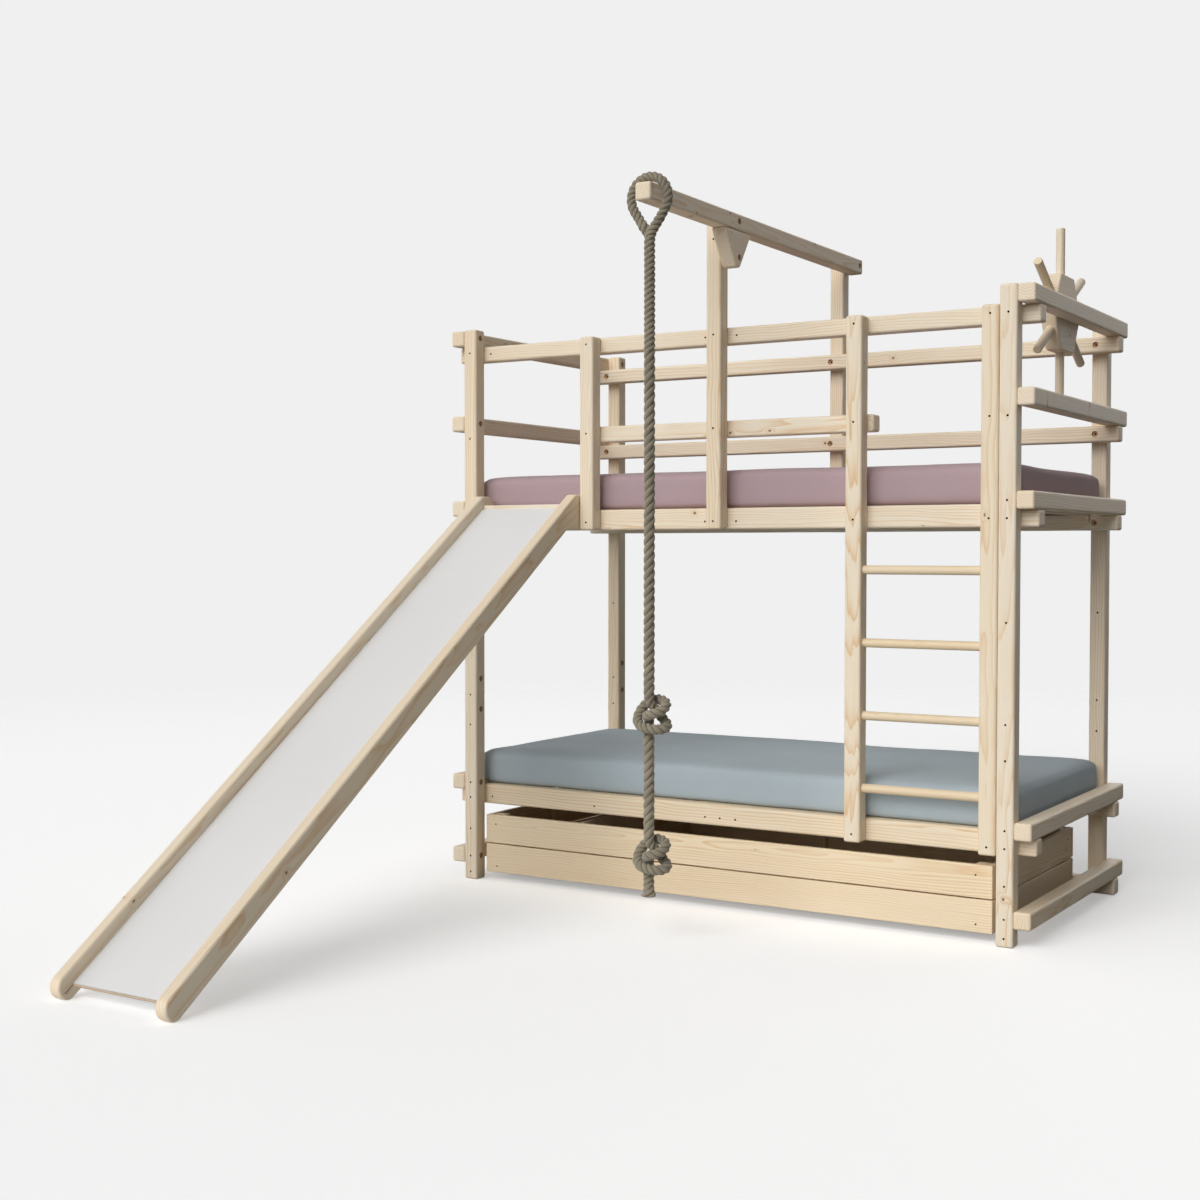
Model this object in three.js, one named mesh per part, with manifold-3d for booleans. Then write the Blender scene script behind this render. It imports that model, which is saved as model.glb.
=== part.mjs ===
// Bunk bed of squared spruce timbers with a slide, a ladder, a rope crane,
// a steering wheel and a box on castors beneath the lower bunk.
// Millimetres, +Z up. The origin lies on the floor, midway along the bed
// and midway between the foot of the slide and the wall side of the bed.
import * as THREE from 'three';
import { mergeVertices } from 'three/addons/utils/BufferGeometryUtils.js';
import Module from 'manifold-3d';

const wasm = await Module();
wasm.setup();

// Timbers
const timberSize = 54;
const timberRound = 5;
const endChamfer = 2;
const sideRailHeight = 70;
const railNotch = 18;
const cutGap = 0.3;

// Mattresses and the space about them
const mattressLength = 2000;
const mattressWidth = 900;
const mattressThickness = 122;
const mattressCrown = 5;
const mattressDrawIn = 5;
const mattressRound = 26;
const mattressEndGap = 3;
const mattressSideGap = 10;

// Undersides of the cross rails at each end, and how far the posts stand above the top ones
const topCrossHeight = 1900;
const midCrossHeight = 1598;
const upperCrossHeight = 1296;
const lowerCrossHeight = 320;
const floorCrossHeight = 57;
const postProud = 2;

// Uprights along the front, by their left faces
const slideUprightAt = 488;
const ladderLeftAt = 1465;
const ladderEndGap = 1;
const guardOverhang = 18;

// Ladder rungs
const rungDiameter = 28;
const rungSeat = 20;
const firstRung = 437;
const rungPitch = 226;
const rungCount = 4;

// Crane above the front of the bed
const craneHeight = 2257;
const craneReach = 543;
const gussetTopFront = 72;
const gussetTopBack = 60;
const gussetFoot = 27;
const gussetFootInset = 8;
const gussetDrop = 118;
const gussetRound = 4;

// Climbing rope
const ropeDiameter = 30;
const ropeSides = 10;
const ropeFromCraneEnd = 43;
const eyeRadius = 62.5;
const eyeTuckDrop = 80;
const eyeCloseDrop = 130;
const upperKnotHeight = 687;
const lowerKnotHeight = 268;
const ropeEndHeight = 141;
const ropeFlareDiameter = 52;

// Slide
const slideReach = 1886;
const slideStringerWidth = 40;
const slideStringerDepth = 70;
const slideAboveRail = 20;
const slideSideGap = 2;
const slideNoseFlat = 1365;
const slideNoseRound = 35;
const slidePanelThickness = 8;
const slidePanelBelowTop = 36;
const slideGroove = 10;
const slidePanelFoot = 46;
const slidePanelTop = 20;
const slideSillHeight = 1333;
const slideSillDepth = 48;
const slideBattenWidth = 45;
const slideBattenThickness = 18;
const slideBattenAlong = 700;

// Slatted bases
const slatThickness = 18;
const slatWidth = 70;
const slatCount = 14;
const slatEndGap = 40;
const ledgerHeight = 26;
const ledgerWidth = 24;

// Steering wheel
const wheelHubApothem = 120;
const wheelHubThickness = 50;
const wheelHubRound = 4;
const wheelSpokeDiameter = 28;
const wheelTipRadius = 272;
const wheelRailGap = 3;
const axleDiameter = 10;
const axleHeadDiameter = 24;
const axleHeadThickness = 6;
const axleDepthInRail = 40;

// Bed box on castors
const boxSideGap = 19;
const boxFrontInset = 32;
const boxBackGap = 52;
const boxBottomHeight = 28;
const boxBoardHeight = 100.5;
const boxBoardSeam = 4;
const boxBoardThickness = 18;
const boxCornerBlock = 45;
const boxCleatWidth = 60;
const boxPanelHeight = 46;
const boxPanelThickness = 8;
const boxDividerFromEnd = 344;
const boxBlockBelowTop = 6;

// Castors under the bed box
const castorWheelDiameter = 40;
const castorWheelWidth = 16;
const castorPinDiameter = 6;
const castorPlateSize = 46;
const castorPlateThickness = 4;
const castorEarThickness = 3;
const castorEarWidth = 18;
const castorEarGap = 2;
const castorInsetX = 70;
const castorInsetY = 135;

// Values that follow from those above
const bedLength = mattressLength + 2 * mattressEndGap;
const bedDepth = mattressWidth + 2 * timberSize + 2 * mattressSideGap;
const railFront = timberSize;
const railBack = bedDepth - 2 * timberSize;
const backPostAt = bedDepth - timberSize;
const rightPostAt = bedLength - timberSize;
const postHeight = topCrossHeight + timberSize + postProud;
const topGuardBottom = topCrossHeight - timberSize;
const midGuardBottom = midCrossHeight - timberSize;
const upperRailTop = upperCrossHeight + railNotch;
const upperRailBottom = upperRailTop - sideRailHeight;
const lowerRailTop = lowerCrossHeight + railNotch;
const lowerRailBottom = lowerRailTop - sideRailHeight;
const ladderRightAt = rightPostAt - ladderEndGap - timberSize;
const craneUprightAt = (bedLength - timberSize) / 2;
const craneBeamAt = craneUprightAt + timberSize;
const craneBeamBottom = craneHeight - timberSize;
const boxDepth = railBack - boxBackGap - boxFrontInset;

// Finishes
const spruce = { color: 0xe9cfa4, roughness: 0.62, metalness: 0 };
const spruceRung = { color: 0xe6c895, roughness: 0.55, metalness: 0 };
const laminate = { color: 0xd9d6cf, roughness: 0.35, metalness: 0 };
const mauveCloth = { color: 0xb08a94, roughness: 0.95, metalness: 0 };
const greyCloth = { color: 0x8f9aa3, roughness: 0.95, metalness: 0 };
const ropeFibre = { color: 0x9a957f, roughness: 0.95, metalness: 0 };
const steel = { color: 0xb9bcc0, roughness: 0.35, metalness: 1 };
const blackPlastic = { color: 0x26282a, roughness: 0.5, metalness: 0 };

const bed = new THREE.Group();
bed.position.set(-bedLength / 2, (slideReach - bedDepth) / 2, 0);

function addMesh(name, geometry, finish, position = [0, 0, 0], rotation = [0, 0, 0]) {
  const mesh = new THREE.Mesh(geometry, new THREE.MeshStandardMaterial(finish));
  mesh.name = name;
  mesh.position.set(...position);
  mesh.rotation.set(...rotation);
  bed.add(mesh);
  return mesh;
}

// Solids for cutting and joining
function toSolid(geometry) {
  const plain = geometry.clone();
  plain.deleteAttribute('normal');
  plain.deleteAttribute('uv');
  const merged = mergeVertices(plain, 1e-4);
  return new wasm.Manifold(new wasm.Mesh({
    numProp: 3,
    vertProperties: new Float32Array(merged.attributes.position.array),
    triVerts: new Uint32Array(merged.index.array),
  }));
}

function toGeometry(solid) {
  const result = solid.getMesh();
  const geometry = new THREE.BufferGeometry();
  geometry.setAttribute('position', new THREE.BufferAttribute(result.vertProperties, 3));
  geometry.setIndex(new THREE.BufferAttribute(result.triVerts, 1));
  geometry.computeVertexNormals();
  return geometry;
}

function joined(geometries) {
  return toGeometry(geometries.map(toSolid).reduce((all, next) => all.add(next)));
}

function cutFrom(geometry, cutters) {
  return toGeometry(cutters.map(toSolid).reduce((all, next) => all.subtract(next), toSolid(geometry)));
}

// A box between two corners
function boxBetween(low, high) {
  const size = high.map((value, i) => value - low[i]);
  const middle = high.map((value, i) => (value + low[i]) / 2);
  return new THREE.BoxGeometry(...size).translate(...middle);
}

// A round bar from a point along an axis
function barAlong(axis, start, length, diameter, sides = 16) {
  const bar = new THREE.CylinderGeometry(diameter / 2, diameter / 2, length, sides);
  bar.translate(0, length / 2, 0);
  if (axis === 'x') bar.rotateZ(-Math.PI / 2);
  if (axis === 'z') bar.rotateX(Math.PI / 2);
  return bar.translate(...start);
}

// Bases that turn an extrusion's own axes to the bed's
const alongAxis = {
  x: new THREE.Matrix4().makeBasis(
    new THREE.Vector3(0, 1, 0), new THREE.Vector3(0, 0, 1), new THREE.Vector3(1, 0, 0)),
  y: new THREE.Matrix4().makeBasis(
    new THREE.Vector3(0, 0, 1), new THREE.Vector3(1, 0, 0), new THREE.Vector3(0, 1, 0)),
  z: new THREE.Matrix4(),
};

// An outline extruded along an axis, its edges at both ends chamfered
function prism(axis, shape, length, chamfer, curveSegments = 2) {
  const geometry = new THREE.ExtrudeGeometry(shape, {
    depth: length - 2 * chamfer,
    bevelEnabled: chamfer > 0,
    bevelThickness: chamfer,
    bevelSize: chamfer,
    bevelOffset: -chamfer,
    bevelSegments: 1,
    curveSegments,
  });
  return geometry.translate(0, 0, chamfer).applyMatrix4(alongAxis[axis]);
}

function roundedSection(width, height, radius) {
  const shape = new THREE.Shape();
  shape.moveTo(radius, 0);
  shape.lineTo(width - radius, 0);
  shape.absarc(width - radius, radius, radius, -Math.PI / 2, 0);
  shape.lineTo(width, height - radius);
  shape.absarc(width - radius, height - radius, radius, 0, Math.PI / 2);
  shape.lineTo(radius, height);
  shape.absarc(radius, height - radius, radius, Math.PI / 2, Math.PI);
  shape.lineTo(0, radius);
  shape.absarc(radius, radius, radius, Math.PI, Math.PI * 1.5);
  return shape;
}

function timberGeometry(axis, length) {
  return prism(axis, roundedSection(timberSize, timberSize, timberRound), length, endChamfer);
}

function timber(name, axis, length, position) {
  return addMesh(name, timberGeometry(axis, length), spruce, position);
}

// Corner posts
for (const [side, x] of [['left', 0], ['right', rightPostAt]]) {
  timber(`post_front_${side}`, 'z', postHeight, [x, 0, 0]);
  timber(`post_back_${side}`, 'z', postHeight, [x, backPostAt, 0]);
}

// Cross rails at both ends, outside the posts. The right top one holds the axle.
const wheelY = bedDepth / 2;
const wheelZ = topCrossHeight + timberSize / 2;
const crossRails = {
  top: topCrossHeight,
  mid: midCrossHeight,
  upper: upperCrossHeight,
  lower: lowerCrossHeight,
  floor: floorCrossHeight,
};
for (const [level, z] of Object.entries(crossRails)) {
  timber(`cross_rail_left_${level}`, 'y', bedDepth, [-timberSize, 0, z]);
  const right = timber(`cross_rail_right_${level}`, 'y', bedDepth, [bedLength, 0, z]);
  if (level === 'top') {
    const seat = barAlong('x', [-1, wheelY, timberSize / 2], axleDepthInRail + 1 + cutGap,
      axleDiameter + 2 * cutGap);
    right.geometry = cutFrom(right.geometry, [seat]);
  }
}

// Long rails, under the ends of the cross rails
const fullRail = bedLength + 2 * timberSize;
function longRail(name, y, z) {
  timber(name, 'x', fullRail, [-timberSize, y, z]);
}
longRail('guard_rail_front_top', railFront, topGuardBottom);
longRail('guard_rail_back_top', railBack, topGuardBottom);
longRail('guard_rail_back_mid', railBack, midGuardBottom);
longRail('floor_rail_back', railBack, floorCrossHeight - timberSize);
const guardStart = slideUprightAt - guardOverhang;
const guardEnd = ladderLeftAt + timberSize + guardOverhang;
timber('guard_rail_front_mid', 'x', guardEnd - guardStart, [guardStart, railFront, midGuardBottom]);

// Deeper side rails, notched at their ends for the cross rails
function sideRail(name, y, bottom) {
  const shape = new THREE.Shape();
  const low = sideRailHeight - railNotch;
  shape.moveTo(0, 0);
  shape.lineTo(0, -timberSize);
  shape.lineTo(low, -timberSize);
  shape.lineTo(low, 0);
  shape.lineTo(sideRailHeight, 0);
  shape.lineTo(sideRailHeight, bedLength);
  shape.lineTo(low, bedLength);
  shape.lineTo(low, bedLength + timberSize);
  shape.lineTo(0, bedLength + timberSize);
  addMesh(name, prism('y', shape, timberSize, endChamfer), spruce, [0, y, bottom]);
}
sideRail('side_rail_front_upper', railFront, upperRailBottom);
sideRail('side_rail_back_upper', railBack, upperRailBottom);
sideRail('side_rail_front_lower', railFront, lowerRailBottom);
sideRail('side_rail_back_lower', railBack, lowerRailBottom);

// Uprights on the front of the rails
timber('slide_upright', 'z', topCrossHeight - upperRailBottom, [slideUprightAt, 0, upperRailBottom]);

// Ladder, its rungs seated in blind bores
const rungY = timberSize / 2;
const rungHeights = Array.from({ length: rungCount }, (_, i) => firstRung + i * rungPitch);
function ladderStile(name, x, boreStart) {
  const bores = rungHeights.map((z) => barAlong('x', [boreStart, rungY, z - lowerRailBottom],
    rungSeat + 1, rungDiameter + 2 * cutGap));
  const plain = timberGeometry('z', topCrossHeight - lowerRailBottom);
  addMesh(name, cutFrom(plain, bores), spruce, [x, 0, lowerRailBottom]);
}
ladderStile('ladder_stile_left', ladderLeftAt, timberSize - rungSeat);
ladderStile('ladder_stile_right', ladderRightAt, -1);
const rungStart = ladderLeftAt + timberSize - rungSeat + cutGap;
const rungLength = ladderRightAt + rungSeat - cutGap - rungStart;
rungHeights.forEach((z, i) => {
  const rung = barAlong('x', [0, 0, 0], rungLength, rungDiameter);
  addMesh(`ladder_rung_${i + 1}`, rung, spruceRung, [rungStart, rungY, z]);
});

// Crane
const craneRise = craneHeight - upperRailBottom;
timber('crane_upright_front', 'z', craneRise, [craneUprightAt, 0, upperRailBottom]);
timber('crane_upright_back', 'z', craneRise, [craneUprightAt, backPostAt, upperRailBottom]);
timber('crane_beam', 'y', craneReach + bedDepth, [craneBeamAt, -craneReach, craneBeamBottom]);
const gussetShape = new THREE.Shape();
gussetShape.moveTo(-gussetTopFront, 0);
gussetShape.lineTo(gussetFootInset, -gussetDrop);
gussetShape.lineTo(gussetFootInset + gussetFoot, -gussetDrop);
gussetShape.lineTo(timberSize + gussetTopBack, 0);
addMesh('crane_gusset', prism('x', gussetShape, timberSize, gussetRound), spruce,
  [craneBeamAt, 0, craneBeamBottom]);

// Slatted bases, flush with the tops of the side rails
function slattedBase(name, railTop) {
  const front = railFront + timberSize + cutGap;
  const back = railBack - cutGap;
  const underSlat = railTop - slatThickness;
  const pieces = [
    boxBetween([slatEndGap, front, underSlat - ledgerHeight],
      [bedLength - slatEndGap, front + ledgerWidth, underSlat + 1]),
    boxBetween([slatEndGap, back - ledgerWidth, underSlat - ledgerHeight],
      [bedLength - slatEndGap, back, underSlat + 1]),
  ];
  const pitch = (bedLength - 2 * slatEndGap - slatWidth) / (slatCount - 1);
  for (let i = 0; i < slatCount; i += 1) {
    const x = slatEndGap + i * pitch;
    pieces.push(boxBetween([x, front, underSlat], [x + slatWidth, back, railTop]));
  }
  addMesh(name, joined(pieces), spruce);
}
slattedBase('slatted_base_upper', upperRailTop);
slattedBase('slatted_base_lower', lowerRailTop);

// Mattresses, with a crown on top and their sides drawn in between the corners
function stations(half, round, inner) {
  const list = [-half, -half + round * 0.25, -half + round];
  for (let i = 1; i < inner; i += 1) list.push((-half + round) * (1 - (2 * i) / inner));
  return list.concat([half - round, half - round * 0.25, half]);
}

function mattress(name, base, finish) {
  const half = [mattressLength / 2, mattressWidth / 2, mattressThickness / 2];
  const rows = [stations(half[0], mattressRound, 14), stations(half[1], mattressRound, 8),
    stations(half[2], mattressRound, 2)];
  const geometry = new THREE.BoxGeometry(2, 2, 2, ...rows.map((row) => row.length - 1));
  const position = geometry.attributes.position;
  for (let v = 0; v < position.count; v += 1) {
    const point = [position.getX(v), position.getY(v), position.getZ(v)].map((value, k) =>
      rows[k][Math.round(((value + 1) / 2) * (rows[k].length - 1))]);
    const core = point.map((value, k) =>
      THREE.MathUtils.clamp(value, -half[k] + mattressRound, half[k] - mattressRound));
    const away = new THREE.Vector3(...point.map((value, k) => value - core[k]));
    if (away.length() > 0) away.setLength(mattressRound);
    const out = core.map((value, k) => value + away.getComponent(k));
    const alongX = 1 - (out[0] / half[0]) ** 2;
    const alongY = 1 - (out[1] / half[1]) ** 2;
    const lift = Math.max(0, out[2] / half[2]);
    out[0] -= Math.sign(core[0]) * mattressDrawIn * alongY * Math.abs(core[0] / half[0]) ** 6;
    out[1] -= Math.sign(core[1]) * mattressDrawIn * alongX * Math.abs(core[1] / half[1]) ** 6;
    out[2] += mattressCrown * lift * Math.max(0, alongX) ** 0.4 * Math.max(0, alongY) ** 0.4;
    position.setXYZ(v, ...out);
  }
  geometry.deleteAttribute('normal');
  geometry.deleteAttribute('uv');
  const closed = mergeVertices(geometry, 1e-3);
  closed.computeVertexNormals();
  addMesh(name, closed, finish, [bedLength / 2, bedDepth / 2, base + half[2] + cutGap]);
}
mattress('mattress_upper', upperRailTop, mauveCloth);
mattress('mattress_lower', lowerRailTop, greyCloth);

// Slide. Its centre line runs from the round foot up to the front of the posts.
const footRadius = slideStringerDepth / 2;
const footY = footRadius - slideReach;
const slideTopZ = upperRailTop + slideAboveRail;
const slope = Math.atan2(slideTopZ - footRadius, -footY);
const along = new THREE.Vector2(Math.cos(slope), Math.sin(slope));
const outward = new THREE.Vector2(-Math.sin(slope), Math.cos(slope));
// Height of the line that lies a given distance above the centre line, at a given y
const lineHeight = (y, above) => footRadius + (y - footY) * Math.tan(slope) + above / Math.cos(slope);
const lineY = (z, above) => footY + (z - footRadius - above / Math.cos(slope)) / Math.tan(slope);
const panelTopAbove = footRadius - slidePanelBelowTop;
const panelStart = new THREE.Vector2(-slideReach + slidePanelFoot,
  lineHeight(-slideReach + slidePanelFoot, panelTopAbove));
const panelLength = (-slidePanelTop - panelStart.x) / Math.cos(slope);

function stringerOutline() {
  const shape = new THREE.Shape();
  const bottomY = lineY(upperRailBottom, -footRadius);
  shape.moveTo(bottomY, upperRailBottom);
  shape.lineTo(railFront, upperRailBottom);
  shape.lineTo(railFront, slideNoseFlat - slideNoseRound);
  shape.absarc(railFront - slideNoseRound, slideNoseFlat - slideNoseRound, slideNoseRound, 0, Math.PI / 2);
  shape.lineTo(lineY(slideNoseFlat, footRadius), slideNoseFlat);
  shape.absarc(footY, footRadius, footRadius, slope + Math.PI / 2, slope + Math.PI * 1.5);
  return shape;
}

// A board that lies in the slope, from a distance along it and a depth below its top surface
function slopeBoard(x0, x1, from, length, below, thickness) {
  const board = new THREE.BoxGeometry(x1 - x0, length, thickness);
  board.rotateX(slope);
  const middle = panelStart.clone()
    .addScaledVector(along, from + length / 2)
    .addScaledVector(outward, -below - thickness / 2);
  return board.translate((x0 + x1) / 2, middle.x, middle.y);
}
const stringerLeft = timberSize + slideSideGap;
const stringerRight = slideUprightAt - slideSideGap - slideStringerWidth;
const slideInnerLeft = stringerLeft + slideStringerWidth;
for (const [name, x] of [['slide_stringer_left', stringerLeft], ['slide_stringer_right', stringerRight]]) {
  const inner = x === stringerLeft ? slideInnerLeft : stringerRight;
  const groove = slopeBoard(inner - slideGroove, inner + slideGroove, -cutGap,
    panelLength + 2 * cutGap, -cutGap, slidePanelThickness + 2 * cutGap);
  const stringer = prism('x', stringerOutline(), slideStringerWidth, endChamfer, 8).translate(x, 0, 0);
  addMesh(name, cutFrom(stringer, [groove]), spruce);
}
const panelSide = slideGroove - cutGap;
addMesh('slide_panel', slopeBoard(slideInnerLeft - panelSide, stringerRight + panelSide,
  0, panelLength, 0, slidePanelThickness), laminate);
const panelEnd = panelStart.clone()
  .addScaledVector(along, panelLength)
  .addScaledVector(outward, -slidePanelThickness);
addMesh('slide_sill', boxBetween(
  [slideInnerLeft + cutGap, panelEnd.x + cutGap, slideSillHeight - slideSillDepth],
  [stringerRight - cutGap, railFront - cutGap, slideSillHeight]), spruce);
addMesh('slide_cross_batten', slopeBoard(slideInnerLeft + cutGap, stringerRight - cutGap,
  slideBattenAlong, slideBattenWidth, slidePanelThickness + cutGap, slideBattenThickness), spruce);

// Steering wheel with six glued spokes, and the bolt that it turns on
const hubShape = new THREE.Shape();
for (let i = 0; i < 6; i += 1) {
  const angle = (i * Math.PI) / 3;
  const corner = wheelHubApothem / Math.cos(Math.PI / 6);
  hubShape[i === 0 ? 'moveTo' : 'lineTo'](corner * Math.cos(angle), corner * Math.sin(angle));
}
const hub = prism('x', hubShape, wheelHubThickness, wheelHubRound);
const spokes = Array.from({ length: 6 }, (_, i) => {
  const root = wheelHubApothem - 2 * wheelHubRound;
  const spoke = barAlong('z', [0, 0, root], wheelTipRadius - root, wheelSpokeDiameter, 12);
  spoke.translate(wheelHubThickness / 2, 0, 0);
  return spoke.rotateX((i * Math.PI) / 3);
});
const hubBore = barAlong('x', [-1, 0, 0], wheelHubThickness + 2, axleDiameter + 2 * cutGap);
const wheelX = bedLength - wheelRailGap - wheelHubThickness;
addMesh('steering_wheel', cutFrom(joined([hub, ...spokes]), [hubBore]), spruce, [wheelX, wheelY, wheelZ]);
const axleRadius = axleDiameter / 2;
const axleHead = axleHeadDiameter / 2;
const collarEnd = wheelRailGap + wheelHubThickness - cutGap;
const axleProfile = [
  [0, -axleHeadThickness - cutGap],
  [axleHead, -axleHeadThickness - cutGap],
  [axleHead, -cutGap],
  [axleRadius, -cutGap],
  [axleRadius, wheelHubThickness + cutGap],
  [axleHead, wheelHubThickness + cutGap],
  [axleHead, collarEnd],
  [axleRadius, collarEnd],
  [axleRadius, wheelRailGap + wheelHubThickness + axleDepthInRail],
  [0, wheelRailGap + wheelHubThickness + axleDepthInRail],
];
const axle = new THREE.LatheGeometry(axleProfile.map((p) => new THREE.Vector2(...p)), 16);
addMesh('steering_axle', axle.rotateZ(-Math.PI / 2), steel, [wheelX, wheelY, wheelZ]);

// Climbing rope. Its eye hangs on the two upper edges of the crane beam.
const ropeRadius = ropeDiameter / 2;
const ropeX = craneBeamAt + timberSize / 2;
const ropeY = ropeFromCraneEnd - craneReach;
const edgeCentre = timberSize / 2 - timberRound;
const eyeInside = eyeRadius - ropeRadius - cutGap - timberRound;
const eyeZ = craneHeight - timberRound - Math.sqrt(eyeInside ** 2 - edgeCentre ** 2);

// Centre line of a slack overhand knot in the rope, about its middle
const knotRoute = [
  [0, -1, 104], [0, -5, 88], [0, -10, 73], [1, -14, 58], [4, -14, 43], [10, -9, 30], [17, 0, 19],
  [23, 9, 8], [30, 17, -5], [39, 20, -17], [50, 18, -27], [57, 8, -35], [56, -6, -40], [46, -17, -42],
  [31, -23, -42], [14, -25, -41], [-3, -25, -38], [-18, -21, -33], [-30, -15, -22], [-34, -6, -9],
  [-32, 3, 6], [-26, 11, 19], [-16, 17, 31], [-3, 21, 39], [12, 23, 43], [28, 21, 42], [43, 17, 38],
  [54, 8, 31], [57, -4, 23], [53, -16, 14], [42, -26, 8], [28, -30, 3], [13, -27, -1], [3, -18, -5],
  [-1, -4, -10], [-4, 8, -20], [-5, 14, -34], [-4, 15, -49], [-2, 11, -65], [-1, 7, -80], [0, 3, -96],
];

function ropeCentreLine() {
  const points = [];
  const tuckZ = eyeZ - eyeTuckDrop;
  const closeZ = eyeZ - eyeCloseDrop;
  points.push([-22.5, 0, tuckZ], [-30, 0, tuckZ + 11.5], [-40, 0, tuckZ + 27]);
  for (let degrees = 213; degrees >= -33.1; degrees -= 12.3) {
    const angle = THREE.MathUtils.degToRad(degrees);
    points.push([eyeRadius * Math.cos(angle), 0, eyeZ + eyeRadius * Math.sin(angle)]);
  }
  points.push([37, 0, closeZ + 71], [21, 0, closeZ + 50], [8, 0, closeZ + 32]);
  points.push([1.5, 0, closeZ + 15], [0, 0, closeZ]);
  const straight = (from, to) => {
    const count = Math.ceil((from - to) / (2.5 * ropeDiameter));
    for (let i = 1; i < count; i += 1) points.push([0, 0, from + ((to - from) * i) / count]);
  };
  const knot = (middle) => {
    for (const [x, y, z] of knotRoute) points.push([x, y, middle + z]);
  };
  straight(closeZ, upperKnotHeight + knotRoute[0][2]);
  knot(upperKnotHeight);
  straight(upperKnotHeight + knotRoute.at(-1)[2], lowerKnotHeight + knotRoute[0][2]);
  knot(lowerKnotHeight);
  points.push([0, 0, ropeEndHeight + 22], [0, 0, ropeEndHeight + 8], [0, 0, ropeEndHeight]);
  return points.map((p) => new THREE.Vector3(...p));
}

// A closed tube whose rings stand at the given points, each with its own radius
function tubeThrough(points, radii, sides) {
  const tangents = points.map((_, i) => points[Math.min(i + 1, points.length - 1)].clone()
    .sub(points[Math.max(i - 1, 0)]).normalize());
  const vertices = [];
  let side = new THREE.Vector3(0, 1, 0);
  points.forEach((point, i) => {
    const tangent = tangents[i];
    side = side.addScaledVector(tangent, -side.dot(tangent)).normalize();
    const up = new THREE.Vector3().crossVectors(tangent, side);
    for (let k = 0; k < sides; k += 1) {
      const angle = (2 * Math.PI * k) / sides;
      const vertex = point.clone()
        .addScaledVector(side, radii[i] * Math.cos(angle))
        .addScaledVector(up, radii[i] * Math.sin(angle));
      vertices.push(vertex.x, vertex.y, vertex.z);
    }
  });
  const index = [];
  for (let i = 0; i < points.length - 1; i += 1) {
    for (let k = 0; k < sides; k += 1) {
      const a = i * sides + k;
      const b = i * sides + ((k + 1) % sides);
      index.push(a, b, b + sides, a, b + sides, a + sides);
    }
  }
  const last = (points.length - 1) * sides;
  for (let k = 1; k < sides - 1; k += 1) {
    index.push(0, k + 1, k);
    index.push(last, last + k, last + k + 1);
  }
  const geometry = new THREE.BufferGeometry();
  geometry.setAttribute('position', new THREE.Float32BufferAttribute(vertices, 3));
  geometry.setIndex(index);
  geometry.computeVertexNormals();
  return geometry;
}

const ropePoints = ropeCentreLine();
const ropeRadii = ropePoints.map((p, i) => {
  const fromEnd = ropePoints.length - 1 - i;
  if (fromEnd < 2) return ropeFlareDiameter / 2;
  return ropeRadius;
});
addMesh('climbing_rope', tubeThrough(ropePoints, ropeRadii, ropeSides), ropeFibre, [ropeX, ropeY, 0]);

// Least gap of the rope to itself, and its length, measured on points 3 mm apart
const ropeCurve = new THREE.CurvePath();
ropePoints.slice(1).forEach((p, i) => ropeCurve.add(new THREE.LineCurve3(ropePoints[i], p)));
const ropeLength = ropeCurve.getLength();
const ropeSamples = ropeCurve.getSpacedPoints(Math.round(ropeLength / 3));
let leastGap = Infinity;
ropeSamples.forEach((a, i) => {
  for (let j = i + Math.round((2.2 * ropeDiameter) / 3); j < ropeSamples.length; j += 1) {
    leastGap = Math.min(leastGap, a.distanceTo(ropeSamples[j]) - ropeDiameter);
  }
});
console.log(`rope length ${ropeLength.toFixed(0)} mm, least gap to itself ${leastGap.toFixed(2)} mm`);

// Bed box: four sides of two boards each, with corner blocks and cleats, a bottom and a divider
const boxLeft = timberSize + boxSideGap;
const boxRight = rightPostAt - boxSideGap;
const boxBack = boxFrontInset + boxDepth;
const boxTop = boxBottomHeight + 2 * boxBoardHeight + boxBoardSeam;
const panelTop = boxPanelHeight + boxPanelThickness;
const blockTop = boxTop - boxBlockBelowTop;
const boardLevels = [boxBottomHeight, boxBottomHeight + boxBoardHeight + boxBoardSeam];
const boardPair = (x0, x1, y0, y1) => boardLevels.map((z) =>
  boxBetween([x0, y0, z], [x1, y1, z + boxBoardHeight]));
const boxMiddle = (boxLeft + boxRight) / 2;

function longSide(name, y0, inward) {
  const y1 = y0 + boxBoardThickness;
  const face = inward > 0 ? y1 - 1 : y0 + 1;
  const behind = (reach) => [Math.min(face, face + inward * reach), Math.max(face, face + inward * reach)];
  const [b0, b1] = behind(boxCornerBlock + 1);
  const [c0, c1] = behind(boxBoardThickness + 1);
  const inLeft = boxLeft + boxBoardThickness;
  const inRight = boxRight - boxBoardThickness;
  addMesh(name, joined([
    ...boardPair(boxLeft, boxRight, y0, y1),
    boxBetween([inLeft, b0, panelTop], [inLeft + boxCornerBlock, b1, blockTop]),
    boxBetween([inRight - boxCornerBlock, b0, panelTop], [inRight, b1, blockTop]),
    boxBetween([boxMiddle - boxCleatWidth / 2, c0, panelTop], [boxMiddle + boxCleatWidth / 2, c1, blockTop]),
  ]), spruce);
}
longSide('box_front', boxFrontInset, 1);
longSide('box_back', boxBack - boxBoardThickness, -1);

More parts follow.
